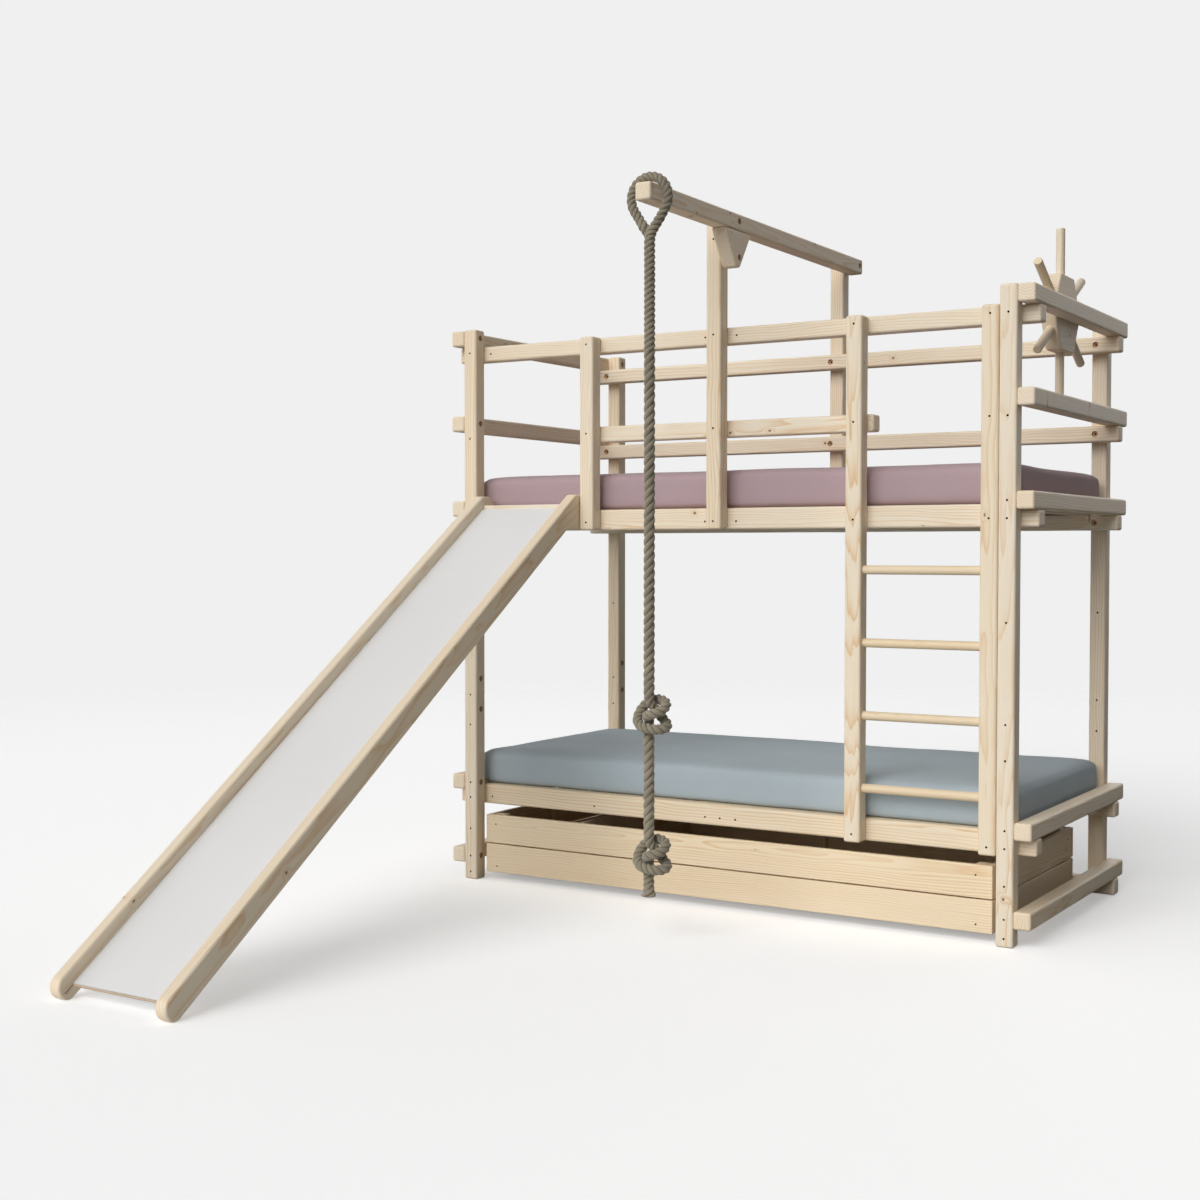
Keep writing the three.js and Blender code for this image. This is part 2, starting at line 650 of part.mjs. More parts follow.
function shortSide(name, x0, inward) {
  const x1 = x0 + boxBoardThickness;
  const face = inward > 0 ? x1 - 1 : x0 + 1;
  const middleY = (boxFrontInset + boxBack) / 2;
  const reach = face + inward * (boxBoardThickness + 1);
  const y0 = boxFrontInset + boxBoardThickness + cutGap;
  const y1 = boxBack - boxBoardThickness - cutGap;
  addMesh(name, joined([
    ...boardPair(x0, x1, y0, y1),
    boxBetween([Math.min(face, reach), middleY - boxCleatWidth / 2, panelTop],
      [Math.max(face, reach), middleY + boxCleatWidth / 2, blockTop]),
  ]), spruce);
}
shortSide('box_left', boxLeft, 1);
shortSide('box_right', boxRight - boxBoardThickness, -1);
const inside = boxBoardThickness + cutGap;
addMesh('box_bottom', boxBetween([boxLeft + inside, boxFrontInset + inside, boxPanelHeight],
  [boxRight - inside, boxBack - inside, panelTop - cutGap]), spruce);
const dividerX = boxLeft + boxBoardThickness + boxDividerFromEnd;
addMesh('box_divider', boxBetween([dividerX, boxFrontInset + inside, panelTop],
  [dividerX + boxBoardThickness, boxBack - inside, blockTop]), spruce);

// Castors, each a fork with its pin and a wheel that turns on it
const castorRadius = castorWheelDiameter / 2;
const earAt = castorWheelWidth / 2 + castorEarGap;
const plateTop = boxPanelHeight - cutGap;
const castorPlaces = {
  front_left: [boxLeft + castorInsetX, boxFrontInset + castorInsetY],
  front_right: [boxRight - castorInsetX, boxFrontInset + castorInsetY],
  back_left: [boxLeft + castorInsetX, boxBack - castorInsetY],
  back_right: [boxRight - castorInsetX, boxBack - castorInsetY],
};
for (const [place, [x, y]] of Object.entries(castorPlaces)) {
  const halfPlate = castorPlateSize / 2;
  const plateUnder = plateTop - castorPlateThickness;
  const ear = (x0) => boxBetween([x0, -castorEarWidth / 2, castorRadius - castorEarWidth / 2],
    [x0 + castorEarThickness, castorEarWidth / 2, plateUnder + 1]);
  const pinReach = earAt + castorEarThickness;
  addMesh(`castor_fork_${place}`, joined([
    boxBetween([-halfPlate, -halfPlate, plateUnder], [halfPlate, halfPlate, plateTop]),
    ear(-pinReach),
    ear(earAt),
    barAlong('x', [-pinReach, 0, castorRadius], 2 * pinReach, castorPinDiameter),
  ]), steel, [x, y, 0]);
  const bore = castorPinDiameter / 2 + cutGap;
  const halfWheel = castorWheelWidth / 2;
  const tread = [[bore, -halfWheel], [castorRadius - 2, -halfWheel], [castorRadius, -halfWheel + 2],
    [castorRadius, halfWheel - 2], [castorRadius - 2, halfWheel], [bore, halfWheel], [bore, -halfWheel]];
  const wheel = new THREE.LatheGeometry(tread.map((p) => new THREE.Vector2(...p)), 24);
  addMesh(`castor_wheel_${place}`, wheel.rotateZ(-Math.PI / 2), blackPlastic, [x, y, castorRadius]);
}

export default bed;
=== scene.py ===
"""Dresses a bunk bed with a slide: timbers, ladder, crane, rope, mattresses, steering wheel and bed box."""

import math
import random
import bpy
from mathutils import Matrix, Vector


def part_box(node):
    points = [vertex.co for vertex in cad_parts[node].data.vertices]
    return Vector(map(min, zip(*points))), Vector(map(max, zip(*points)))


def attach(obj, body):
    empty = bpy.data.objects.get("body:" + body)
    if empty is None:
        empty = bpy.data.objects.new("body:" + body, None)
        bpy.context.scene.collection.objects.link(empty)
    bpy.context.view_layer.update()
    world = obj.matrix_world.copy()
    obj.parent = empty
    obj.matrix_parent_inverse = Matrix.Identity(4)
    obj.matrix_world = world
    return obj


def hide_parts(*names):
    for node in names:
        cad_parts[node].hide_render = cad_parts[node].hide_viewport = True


bl_info = {
    "name": "Bunk Bed with Slide",
    "version": (1, 0, 0),
    "blender": (4, 5, 0),
    "location": "View3D > Sidebar > Bunk Bed",
    "description": "Dresses a bunk bed with a slide, a rope crane and a bed box",
    "category": "Add Mesh",
}

import bmesh
import bpy
from mathutils import Matrix, Vector, noise

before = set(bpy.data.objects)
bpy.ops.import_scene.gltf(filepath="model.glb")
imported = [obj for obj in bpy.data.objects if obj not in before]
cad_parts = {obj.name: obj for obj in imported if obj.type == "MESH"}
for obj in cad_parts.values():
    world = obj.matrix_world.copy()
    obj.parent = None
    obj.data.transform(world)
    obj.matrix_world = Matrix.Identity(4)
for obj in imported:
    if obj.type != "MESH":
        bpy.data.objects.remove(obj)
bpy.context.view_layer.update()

MM = 0.001
BED = "bed_frame"
BOX = "bed_box"
WHEEL = "steering_wheel_turning"
ROPE = "climbing_rope_hanging"
SIDES = ("left", "right")


# Places on the solids


def corner(node, high=False):
    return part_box(node)[1 if high else 0]


def middle(node, axis):
    low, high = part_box(node)
    return (low[axis] + high[axis]) / 2


def settings():
    return bpy.context.scene.bunk_bed


def along_bed(x):
    """A place along the bed, from millimetres to the right of the left posts' outer faces."""
    return corner("post_front_left").x + x * MM


# Node trees


def feed(node, ins):
    """Fills a node's sockets, by name or number, with values or links."""
    for key, value in ins.items():
        if isinstance(value, bpy.types.NodeSocket):
            node.id_data.links.new(value, node.inputs[key])
        else:
            node.inputs[key].default_value = value
    return node


def put(tree, kind, ins=None, **props):
    """Adds a node, sets its properties and fills its sockets."""
    node = tree.nodes.new(kind)
    for key, value in props.items():
        setattr(node, key, value)
    return feed(node, ins or {})


def owner(values):
    """The node tree of the first value that is a socket."""
    return next(value.id_data for value in values if isinstance(value, bpy.types.NodeSocket))


def calc(operation, *values):
    """One step of arithmetic."""
    ins = dict(enumerate(values))
    return put(owner(values), "ShaderNodeMath", ins, operation=operation).outputs[0]


def times(first, second):
    return calc("MULTIPLY", first, second)


def total(*terms, start=0.0, clamp=False):
    """A start value plus sockets times their weights."""
    for socket, weight in terms:
        start = calc("MULTIPLY_ADD", socket, weight, start)
    start.node.use_clamp = clamp
    return start


def vec(operation, *values):
    """One step of vector arithmetic."""
    ins = {3 if operation == "SCALE" and i else i: value for i, value in enumerate(values)}
    node = put(owner(values), "ShaderNodeVectorMath", ins, operation=operation)
    return node.outputs[1 if operation in {"LENGTH", "DISTANCE"} else 0]


def parted(vector):
    """The three parts of a vector."""
    return put(vector.id_data, "ShaderNodeSeparateXYZ", {0: vector}).outputs


def remap(value, low, high, to_low=0.0, to_high=1.0, kind="SMOOTHSTEP"):
    """Moves a value from one range to another."""
    ins = dict(enumerate((value, low, high, to_low, to_high)))
    return put(value.id_data, "ShaderNodeMapRange", ins, interpolation_type=kind).outputs[0]


def blend(amount, first, second, mode="MIX"):
    """Mixes two colours."""
    ins = {0: amount, 6: first, 7: second}
    return put(amount.id_data, "ShaderNodeMix", ins, data_type="RGBA", blend_type=mode).outputs[2]


def cloud(vector, scale=1.0, detail=2.0, roughness=0.5, output=0):
    """Soft noise, as a value or, from output 1, as a colour."""
    ins = {"Vector": vector, "Scale": scale, "Detail": detail, "Roughness": roughness}
    return put(vector.id_data, "ShaderNodeTexNoise", ins).outputs[output]


def new_group(name, kind, ins, outs):
    """A node group with named inputs (name, socket type, default) and outputs (name, socket type)."""
    group = bpy.data.node_groups.new(name, kind)
    for label, socket, default in ins:
        item = group.interface.new_socket(label, in_out="INPUT", socket_type=socket)
        if default is not None:
            item.default_value = default
    for label, socket in outs:
        group.interface.new_socket(label, in_out="OUTPUT", socket_type=socket)
    return group, group.nodes.new("NodeGroupInput").outputs, group.nodes.new("NodeGroupOutput")


VECTOR, FLOAT, COLOUR = "NodeSocketVector", "NodeSocketFloat", "NodeSocketColor"
GEOMETRY = "NodeSocketGeometry"
SURFACE = [("Color", COLOUR), ("Roughness", FLOAT), ("Height", FLOAT)]


def spruce_figure(name):
    """Growth rings, fibres and small knots, from a vector with two parts across the board, one along it."""
    inputs = [
        ("Grain", VECTOR, None), ("Pale", COLOUR, (0.8, 0.7, 0.55, 1)),
        ("Ring", COLOUR, (0.6, 0.42, 0.24, 1)), ("Ring spacing", FLOAT, 0.004), ("Ring strength", FLOAT, 0.5),
    ]
    group, given, out = new_group(name, "ShaderNodeTree", inputs, SURFACE)
    grain = given["Grain"]
    drift = vec("SUBTRACT", cloud(vec("MULTIPLY", grain, (6.0, 6.0, 2.1)), output=1), (0.5, 0.5, 0.5))
    moved = vec("MULTIPLY", vec("ADD", grain, vec("SCALE", drift, 0.040)), (1.0, 1.0, 0.0))
    x, y, _ = parted(moved)
    angle, along = calc("ARCTAN2", y, x), parted(grain)[2]
    place = put(group, "ShaderNodeCombineXYZ", {0: times(angle, 0.75), 1: times(along, 6.5)}).outputs[0]
    ins = {"Vector": place, "Scale": 1.0, "Randomness": 0.9}
    distance, tint, _ = put(group, "ShaderNodeTexVoronoi", ins, voronoi_dimensions="2D").outputs[:3]
    has_knot = calc("GREATER_THAN", put(group, "ShaderNodeSeparateColor", {0: tint}).outputs[0], 0.93)
    near = times(remap(distance, 0.0, 0.17, 1.0, 0.0), has_knot)
    knot = times(remap(distance, 0.022, 0.042, 1.0, 0.0), has_knot)
    bent = total((near, 0.011), start=vec("LENGTH", moved))
    uneven = cloud(vec("SCALE", moved, 55.0), detail=1.0)
    saw = calc("FRACT", total((uneven, 1.1), start=calc("DIVIDE", bent, given["Ring spacing"])))
    late = times(calc("POWER", saw, 3.0), remap(saw, 0.90, 1.0, 1.0, 0.0))
    patch = remap(cloud(vec("MULTIPLY", grain, (9, 9, 1.2))), 0.3, 0.7, 0.45, 1.0)
    fibre = cloud(vec("MULTIPLY", grain, (1500.0, 1500.0, 26.0)), 1.0, 3.0, 0.6)
    streak = cloud(vec("MULTIPLY", grain, (340.0, 340.0, 7.0)), 1.0, 3.0, 0.6)
    rings = times(patch, given["Ring strength"])
    amount = total((late, rings), (fibre, 0.2), (streak, 0.5), start=-0.31, clamp=True)
    colour = blend(amount, given["Pale"], given["Ring"])
    tone = remap(cloud(vec("MULTIPLY", grain, (1.1, 1.1, 0.1))), 0.3, 0.7, kind="LINEAR")
    colour = blend(tone, colour, (1.0, 0.93, 0.80, 1), "MULTIPLY")
    colour = blend(times(near, 0.35), colour, given["Ring"])
    colour = blend(times(knot, 0.85), colour, (0.19, 0.075, 0.03, 1))
    height = total((fibre, 0.5), (late, 0.6))
    feed(out, {"Color": colour, "Roughness": total((fibre, 0.18), start=0.46), "Height": height})
    return group


def cloth_weave(name):
    """A fine plain weave with slubs and soft mottling, from object coordinates."""
    inputs = [("Place", VECTOR, None), ("Cloth", COLOUR, (0.4, 0.3, 0.3, 1))]
    inputs.append(("Threads per metre", FLOAT, 900.0))
    group, given, out = new_group(name, "ShaderNodeTree", inputs, SURFACE)
    place = given["Place"]
    fine = parted(vec("SCALE", place, given["Threads per metre"]))
    waves = [calc("SINE", times(part, math.pi)) for part in fine]
    weave = times(waves[0], calc("ADD", waves[1], waves[2]))
    lint = cloud(place, 260.0)
    value = total((cloud(place, 5.0, 3.0), 0.16), (lint, 0.14), (weave, 0.02), start=0.85)
    colour = vec("SCALE", given["Cloth"], value)
    height = total((weave, 0.25), start=lint)
    feed(out, {"Color": colour, "Roughness": total((lint, 0.1), start=0.82), "Height": height})
    return group


# Finishes


def blank(name, roughness, **sockets):
    """A material with only a Principled BSDF and its output, and that BSDF."""
    made = bpy.data.materials.new(name)
    made.use_nodes = True
    made.node_tree.nodes.clear()
    ins = {key.replace("_", " "): value for key, value in sockets.items()}
    shader = put(made.node_tree, "ShaderNodeBsdfPrincipled", {"Roughness": roughness, **ins})
    put(made.node_tree, "ShaderNodeOutputMaterial", {0: shader.outputs[0]})
    return made, shader


def dress(shader, colour, roughness=None, bump=None):
    """Gives a BSDF its colour, its roughness and its bump (height, strength, distance)."""
    feed(shader, {"Base Color": colour})
    if roughness is not None:
        feed(shader, {"Roughness": roughness})
    if bump:
        ins = dict(zip(("Height", "Strength", "Distance"), bump))
        feed(shader, {"Normal": put(shader.id_data, "ShaderNodeBump", ins).outputs[0]})


def attribute(shader, name, output="Vector"):
    props = {"attribute_name": name, "attribute_type": "GEOMETRY"}
    return put(shader.id_data, "ShaderNodeAttribute", **props).outputs[output]


def object_place(shader):
    return put(shader.id_data, "ShaderNodeTexCoord").outputs["Object"]


def figured(shader, name, build, ins):
    """A node group, built at its first use, and its outputs."""
    group = bpy.data.node_groups.get(name) or build(name)
    return put(shader.id_data, "ShaderNodeGroup", ins, node_tree=group).outputs


def opaque(colour, factor=1.0):
    """A colour of three parts as one of four, each part times a factor."""
    return (*(min(1.0, c * factor) for c in colour), 1)


# Painted shade: brown in the recesses and inside the box, near-black in the holes
PAINTED_SHADE_BROWN = (0.47, 0.245, 0.11, 1)
PAINTED_HOLE_SHADE = (0.03, 0.012, 0.004, 1)
SAWN_RINGS = 1.1
TURNED_RINGS = 0.5
RUNG_RING_SPACING = 0.0028
# The box's timber beside the bed's, in red, green and blue
BOX_TONE = (1.05, 1.0, 0.91)


def timber_finish(name, pale, spacing, strength):
    made, shader = blank(name, 0.55, Specular_IOR_Level=0.3)
    ring = settings().spruce_ring
    ins = {"Grain": attribute(shader, "grain"), "Pale": opaque(pale), "Ring": opaque(ring)}
    ins |= {"Ring spacing": spacing, "Ring strength": strength}
    wood = figured(shader, "Spruce figure", spruce_figure, ins)
    # The painted-shade mask: brown painted shade inside the box and in the recesses, near-black painted shade
    # in the holes
    bore = attribute(shader, "bore", "Fac")
    dark = remap(bore, 0.5, 1.0)
    colour = blend(remap(bore, 0.0, 0.5, 0.0, 0.8), wood["Color"], PAINTED_SHADE_BROWN)
    roughness = calc("MAXIMUM", wood["Roughness"], dark)
    dress(shader, blend(dark, colour, PAINTED_HOLE_SHADE), roughness, (wood["Height"], 0.3, 0.0005))
    return made


def spruce():
    return timber_finish("Oiled spruce", settings().spruce_pale, settings().ring_spacing, SAWN_RINGS)


def box_spruce():
    pale = [part * tone for part, tone in zip(settings().spruce_pale, BOX_TONE)]
    return timber_finish("Oiled spruce of the box", pale, settings().ring_spacing, SAWN_RINGS)


def rung_wood():
    return timber_finish("Turned rung wood", settings().rung_pale, RUNG_RING_SPACING, TURNED_RINGS)


def cover_cloth(name, colour):
    made, shader = blank(name, 0.85, Specular_IOR_Level=0.25, Sheen_Weight=0.03, Sheen_Roughness=0.5)
    ins = {"Place": object_place(shader), "Cloth": opaque(colour)}
    cloth = figured(shader, "Cloth weave", cloth_weave, ins)
    dress(shader, cloth["Color"], cloth["Roughness"], (cloth["Height"], 0.2, 0.0006))
    return made


def mauve_cover():
    return cover_cloth("Mauve jersey", settings().upper_cover)


def grey_cover():
    return cover_cloth("Blue grey jersey", settings().lower_cover)


def slide_laminate():
    made, shader = blank("Slide laminate", 0.5)
    place = object_place(shader)
    speck = cloud(place, 900.0, 1.0)
    amount = remap(total((speck, 0.6), (cloud(place, 2.5), 0.4)), 0.35, 0.65)
    colour = blend(amount, *(opaque(settings().laminate, factor) for factor in (1.0, 0.95)))
    dress(shader, colour, remap(speck, 0.3, 0.7, 0.46, 0.54), (speck, 0.04, 0.0002))
    return made


def plywood_edge():
    made, shader = blank("Plywood edge", 0.6)
    place = object_place(shader)
    plies = calc("SINE", times(parted(place)[2], 2200.0))
    wear = cloud(place, 120.0, 3.0)
    amount = total((plies, 0.25), start=wear, clamp=True)
    dress(shader, blend(amount, (0.50, 0.38, 0.26, 1), (0.70, 0.57, 0.42, 1)), bump=(wear, 0.2, 0.0003))
    return made


def rope_fibre():
    made, shader = blank("Laid hemp", 0.9, Sheen_Weight=0.3, Sheen_Roughness=0.6)
    round_rope, along, groove = parted(attribute(shader, "lay"))
    yarns_per_strand_turn, yarn_lean = 24, 420.0
    yarns = total((round_rope, 2 * math.pi * yarns_per_strand_turn), (along, yarn_lean))
    yarn = total((calc("SINE", yarns), 0.5), start=0.5)
    place = object_place(shader)
    fuzz = cloud(vec("SCALE", place, 700.0), 1.0, 3.0, 0.6)
    value = total((yarn, 0.14), (fuzz, 0.5), (cloud(place, 14.0), 0.4))
    dark, pale, groove_shade = (opaque(settings().rope_colour, factor) for factor in (0.55, 1.35, 0.22))
    colour = blend(remap(value, 0.25, 0.8), dark, pale)
    # Painted shade in the grooves between the strands
    colour = blend(remap(groove, 0.0, 0.72, 1.0, 0.0), colour, groove_shade)
    dress(shader, colour, bump=(total((yarn, 0.6), start=fuzz), 0.6, 0.0012))
    return made


def steel():
    made, shader = blank("Zinc plate", 0.35, Metallic=1.0)
    spangle = cloud(object_place(shader), 420.0, 3.0)
    colour = blend(spangle, (0.46, 0.46, 0.47, 1), (0.74, 0.74, 0.73, 1))
    dress(shader, colour, remap(spangle, 0.3, 0.7, 0.28, 0.5), (spangle, 0.1, 0.0002))
    return made


def browned_screw():
    made, shader = blank("Browned screw", 0.5, Metallic=0.6)
    stain = cloud(object_place(shader), 800.0)
    colour = blend(stain, (0.05, 0.03, 0.02, 1), (0.14, 0.10, 0.07, 1))
    dress(shader, colour, remap(stain, 0.3, 0.7, 0.4, 0.6))
    return made


def castor_plastic():
    made, shader = blank("Castor plastic", 0.45)
    place = object_place(shader)
    dust = cloud(place, 90.0, 3.0)
    colour = blend(remap(dust, 0.45, 0.75), (0.022, 0.022, 0.024, 1), (0.09, 0.085, 0.08, 1))
    dress(shader, colour, remap(dust, 0.3, 0.8, 0.38, 0.65), (cloud(place, 1500.0), 0.15, 0.0002))
    return made


FINISHES = {
    make.__name__: make
    for make in (
        spruce, rung_wood, box_spruce, mauve_cover, grey_cover, slide_laminate, plywood_edge, rope_fibre,
        steel, browned_screw, castor_plastic,
    )
}
made_finishes = {}


def finish_of(name):
    if name not in made_finishes:
        made_finishes[name] = FINISHES[name]()
    return made_finishes[name]


# Meshes and pieces


def polar(radius, angle):
    return radius * math.cos(angle), radius * math.sin(angle)


def circle(radius, count):
    """Points round a circle, as pairs."""
    return [polar(radius, 2 * math.pi * k / count) for k in range(count)]


def skin(bm, rings, ends=True):
    """Faces between rings of vertices, and over the first and the last ring."""
    for a, b in zip(rings, rings[1:]):
        for k in range(len(a)):
            j = (k + 1) % len(a)
            bm.faces.new((a[k], a[j], b[j], b[k]))
    if ends:
        bm.faces.new(list(reversed(rings[0])))
        bm.faces.new(rings[-1])


def link_object(name, mesh):
    made = bpy.data.objects.new(name, mesh)
    bpy.context.scene.collection.objects.link(made)
    return made


def from_bmesh(name, bm):
    mesh = bpy.data.meshes.new(name)
    bm.to_mesh(mesh)
    bm.free()
    return mesh


def built(name, bm):
    """An object from a mesh in the making."""
    return link_object(name, from_bmesh(name, bm))


def baked(made):
    """Turns what the modifiers show into the object's own plain mesh."""
    graph = bpy.context.evaluated_depsgraph_get()
    mesh = bpy.data.meshes.new_from_object(made.evaluated_get(graph))
    old = made.data
    made.modifiers.clear()
    made.data = mesh
    bpy.data.meshes.remove(old)
    return made


def place_piece(made, finish, body, nodes=(), smooth=True):
    """Gives a piece its finish, its body and the solids that it stands for."""
    made.data.materials.clear()
    made.data.materials.append(finish_of(finish))
    for polygon in made.data.polygons:
        polygon.use_smooth = smooth
        polygon.material_index = 0
    if smooth:
        made.modifiers.new("Weighted", "WEIGHTED_NORMAL").keep_sharp = True
        baked(made)
    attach(made, body)
    if nodes:
        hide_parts(*nodes)
    return made


def settle(bm, part, rule):
    """Adds a part to a mesh in the making, with the wood's coordinates where it has a rule for them."""
    if rule:
        layer = part.verts.layers.float_vector.new("grain")
        for vert in part.verts:
            vert[layer] = rule(vert.co)
    mesh = from_bmesh("part", part)
    bm.from_mesh(mesh)
    bpy.data.meshes.remove(mesh)


def round_edges(part, edges, rounding, segments):
    bmesh.ops.bevel(
        part, geom=edges, offset=rounding, segments=segments, profile=0.5, affect="EDGES", clamp_overlap=True
    )


def block_into(bm, low, high, rounding, segments=4, rule=None):
    """Adds a squared block with rounded edges between two corners."""
    part = bmesh.new()
    for vert in bmesh.ops.create_cube(part, size=1.0)["verts"]:
        vert.co = [(high if value > 0 else low)[i] for i, value in enumerate(vert.co)]
    round_edges(part, part.edges[:], rounding, segments)
    settle(bm, part, rule)


def prism_into(bm, outline, low, high, axis, rounding, segments=4, rule=None):
    """Adds an outline, given in the two other axes in order, between two heights along an axis."""
    part = bmesh.new()
    rings = []
    for level in (low, high):
        places = [list(pair) for pair in outline]
        for place in places:
            place.insert(axis, level)
        rings.append([part.verts.new(place) for place in places])
    skin(part, rings)
    bmesh.ops.recalc_face_normals(part, faces=part.faces[:])
    edges = [edge for edge in part.edges if edge.calc_face_angle(0) > math.radians(25)]
    round_edges(part, edges, rounding, segments)
    settle(bm, part, rule)


def rod_into(bm, start, end, radius, sides=32, rounding=0.0015, rule=None):
    """Adds a round bar with softened ends between two points."""
    part = bmesh.new()
    start = Vector(start)
    way = Vector(end) - start
    turn = way.to_track_quat("Z", "Y").to_matrix()
    bend = rounding * 0.3
    near_end = [(0.0, rounding), (bend, bend), (rounding, 0.0)]
    far_end = [(way.length - z, less) for z, less in reversed(near_end)]
    rings = []
    for z, less in near_end + far_end:
        places = [start + turn @ Vector((*pair, z)) for pair in circle(radius - less, sides)]
        rings.append([part.verts.new(place) for place in places])
    skin(part, rings)
    settle(bm, part, rule)


# Boards whose figure stands in arches: degrees round to the pith, its distance and its slope
ARCHED = {"ladder_stile_left": (90, 0.030, 0.050), "post_front_right": (100, 0.050, 0.020)}


def grain_of(low, high, axis, seed, turn=None, arched=None):
    """A rule from a place on a board to the wood's own coordinates, the pith off the board's middle."""
    chance = random.Random(seed)
    centre = (Vector(low) + Vector(high)) / 2
    others = [i for i in range(3) if i != axis]
    angle = chance.uniform(0, 2 * math.pi)
    reach = chance.uniform(0.035, 0.085)
    length_shift = chance.uniform(0, 40)
    tilt = (chance.uniform(-0.012, 0.012), chance.uniform(-0.012, 0.012))
    if arched:
        angle, reach = math.radians(arched[0]), arched[1]
        tilt = (0.0, arched[2])
    pith = polar(reach, angle)

    def grain(co):
        local = co - centre
        if turn is not None:
            local = turn @ local
        along = local[axis]
        across = [local[others[i]] - pith[i] + tilt[i] * along for i in range(2)]
        return (*across, along + length_shift)

    return grain


def layer_of(mesh, name, kind, domain):
    return mesh.attributes.get(name) or mesh.attributes.new(name, kind, domain)


def write_grain(mesh, rule, start=0, end=None):
    """Stores the wood's coordinates on a mesh, or on a run of its vertices."""
    layer = layer_of(mesh, "grain", "FLOAT_VECTOR", "POINT")
    for vertex in mesh.vertices[start:end]:
        layer.data[vertex.index].vector = rule(vertex.co)


def seed_of(name):
    return sum((i + 1) * ord(letter) for i, letter in enumerate(name))


def grown(made, node, axis, seed=None, finish="spruce", body=BED, turn=None, smooth=True):
    """Gives a piece of wood its figure, its finish, its body and its solid."""
    write_grain(made.data, grain_of(*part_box(node), axis, seed or seed_of(node), turn, ARCHED.get(node)))
    return place_piece(made, finish, body, [node], smooth)


def cut_out(made, cutter, itself=False):
    """Takes the cutter out of a piece and removes the cutter."""
    cut = made.modifiers.new("Cut", "BOOLEAN")
    cut.operation = "DIFFERENCE"
    cut.solver = "EXACT"
    cut.use_self = itself
    cut.object = cutter
    baked(made)
    bpy.data.objects.remove(cutter)


# The painted-shade mask on a timber's faces: painted shade inside the box, brown painted shade in the
# recesses, near-black painted shade in the holes
BOX_SHADE, RECESS_SHADE, HOLE_SHADE = 0.21, 0.5, 1.0
# Holes wider than this are recesses, each with a narrower hole in its middle
RECESS_FROM = 0.006
CENTRE_SHARE = 0.33
PILOT_DEPTH = 0.016
RECESS_DEPTH = 0.0085
SLACK = 0.0003


def pierced(made, holes):
    """Cuts round holes (mouth, direction into the wood, radius, depth) and marks the faces inside them for
    painted shade.
    """
    if not holes:
        return
    holes = [(Vector(mouth), Vector(way), radius, depth) for mouth, way, radius, depth in holes]
    for mouth, way, radius, depth in list(holes):
        if radius > RECESS_FROM:
            holes.append((mouth + way * (depth - MM), way, radius * CENTRE_SHARE, depth))
    bm = bmesh.new()
    for mouth, way, radius, depth in holes:
        before = 0.01 if radius > RECESS_FROM or depth == PILOT_DEPTH else 0.0
        rod_into(bm, mouth - way * before, mouth + way * depth, radius, 20, radius * 0.1)
    cut_out(made, built(made.name + "_cutter", bm), True)
    layer = layer_of(made.data, "bore", "FLOAT", "FACE")
    points = made.data.vertices
    for polygon in made.data.polygons:
        for mouth, way, radius, depth in holes:
            if SLACK < (polygon.center - mouth).dot(way) < depth + MM:
                corners = [points[i].co - mouth for i in polygon.vertices]
                if max((c - way * c.dot(way)).length for c in corners) < radius + SLACK:
                    # Painted shade: brown in the recesses, near-black in the holes
                    layer.data[polygon.index].value = RECESS_SHADE if radius > RECESS_FROM else HOLE_SHADE


def paint_box_shade(mesh, inside):
    """Marks the faces that look into a box for painted shade, a darker, browner tone."""
    layer = layer_of(mesh, "bore", "FLOAT", "FACE")
    for polygon in mesh.polygons:
        if inside(polygon.normal):
            layer.data[polygon.index].value = BOX_SHADE


def pretty(node):
    return node[0].upper() + node[1:]


def timber(node, holes=(), axis=None, rounding=None, finish="spruce", body=BED):
    """A squared timber in place of a solid of its size."""
    low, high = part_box(node)
    size = high - low
    axis = max(range(3), key=lambda i: size[i]) if axis is None else axis
    bm = bmesh.new()
    block_into(bm, low, high, rounding or settings().edge_round)
    made = built(pretty(node) + "_timber", bm)
    pierced(made, holes)
    return grown(made, node, axis, finish=finish, body=body)


# Sizes and colours that a user would change


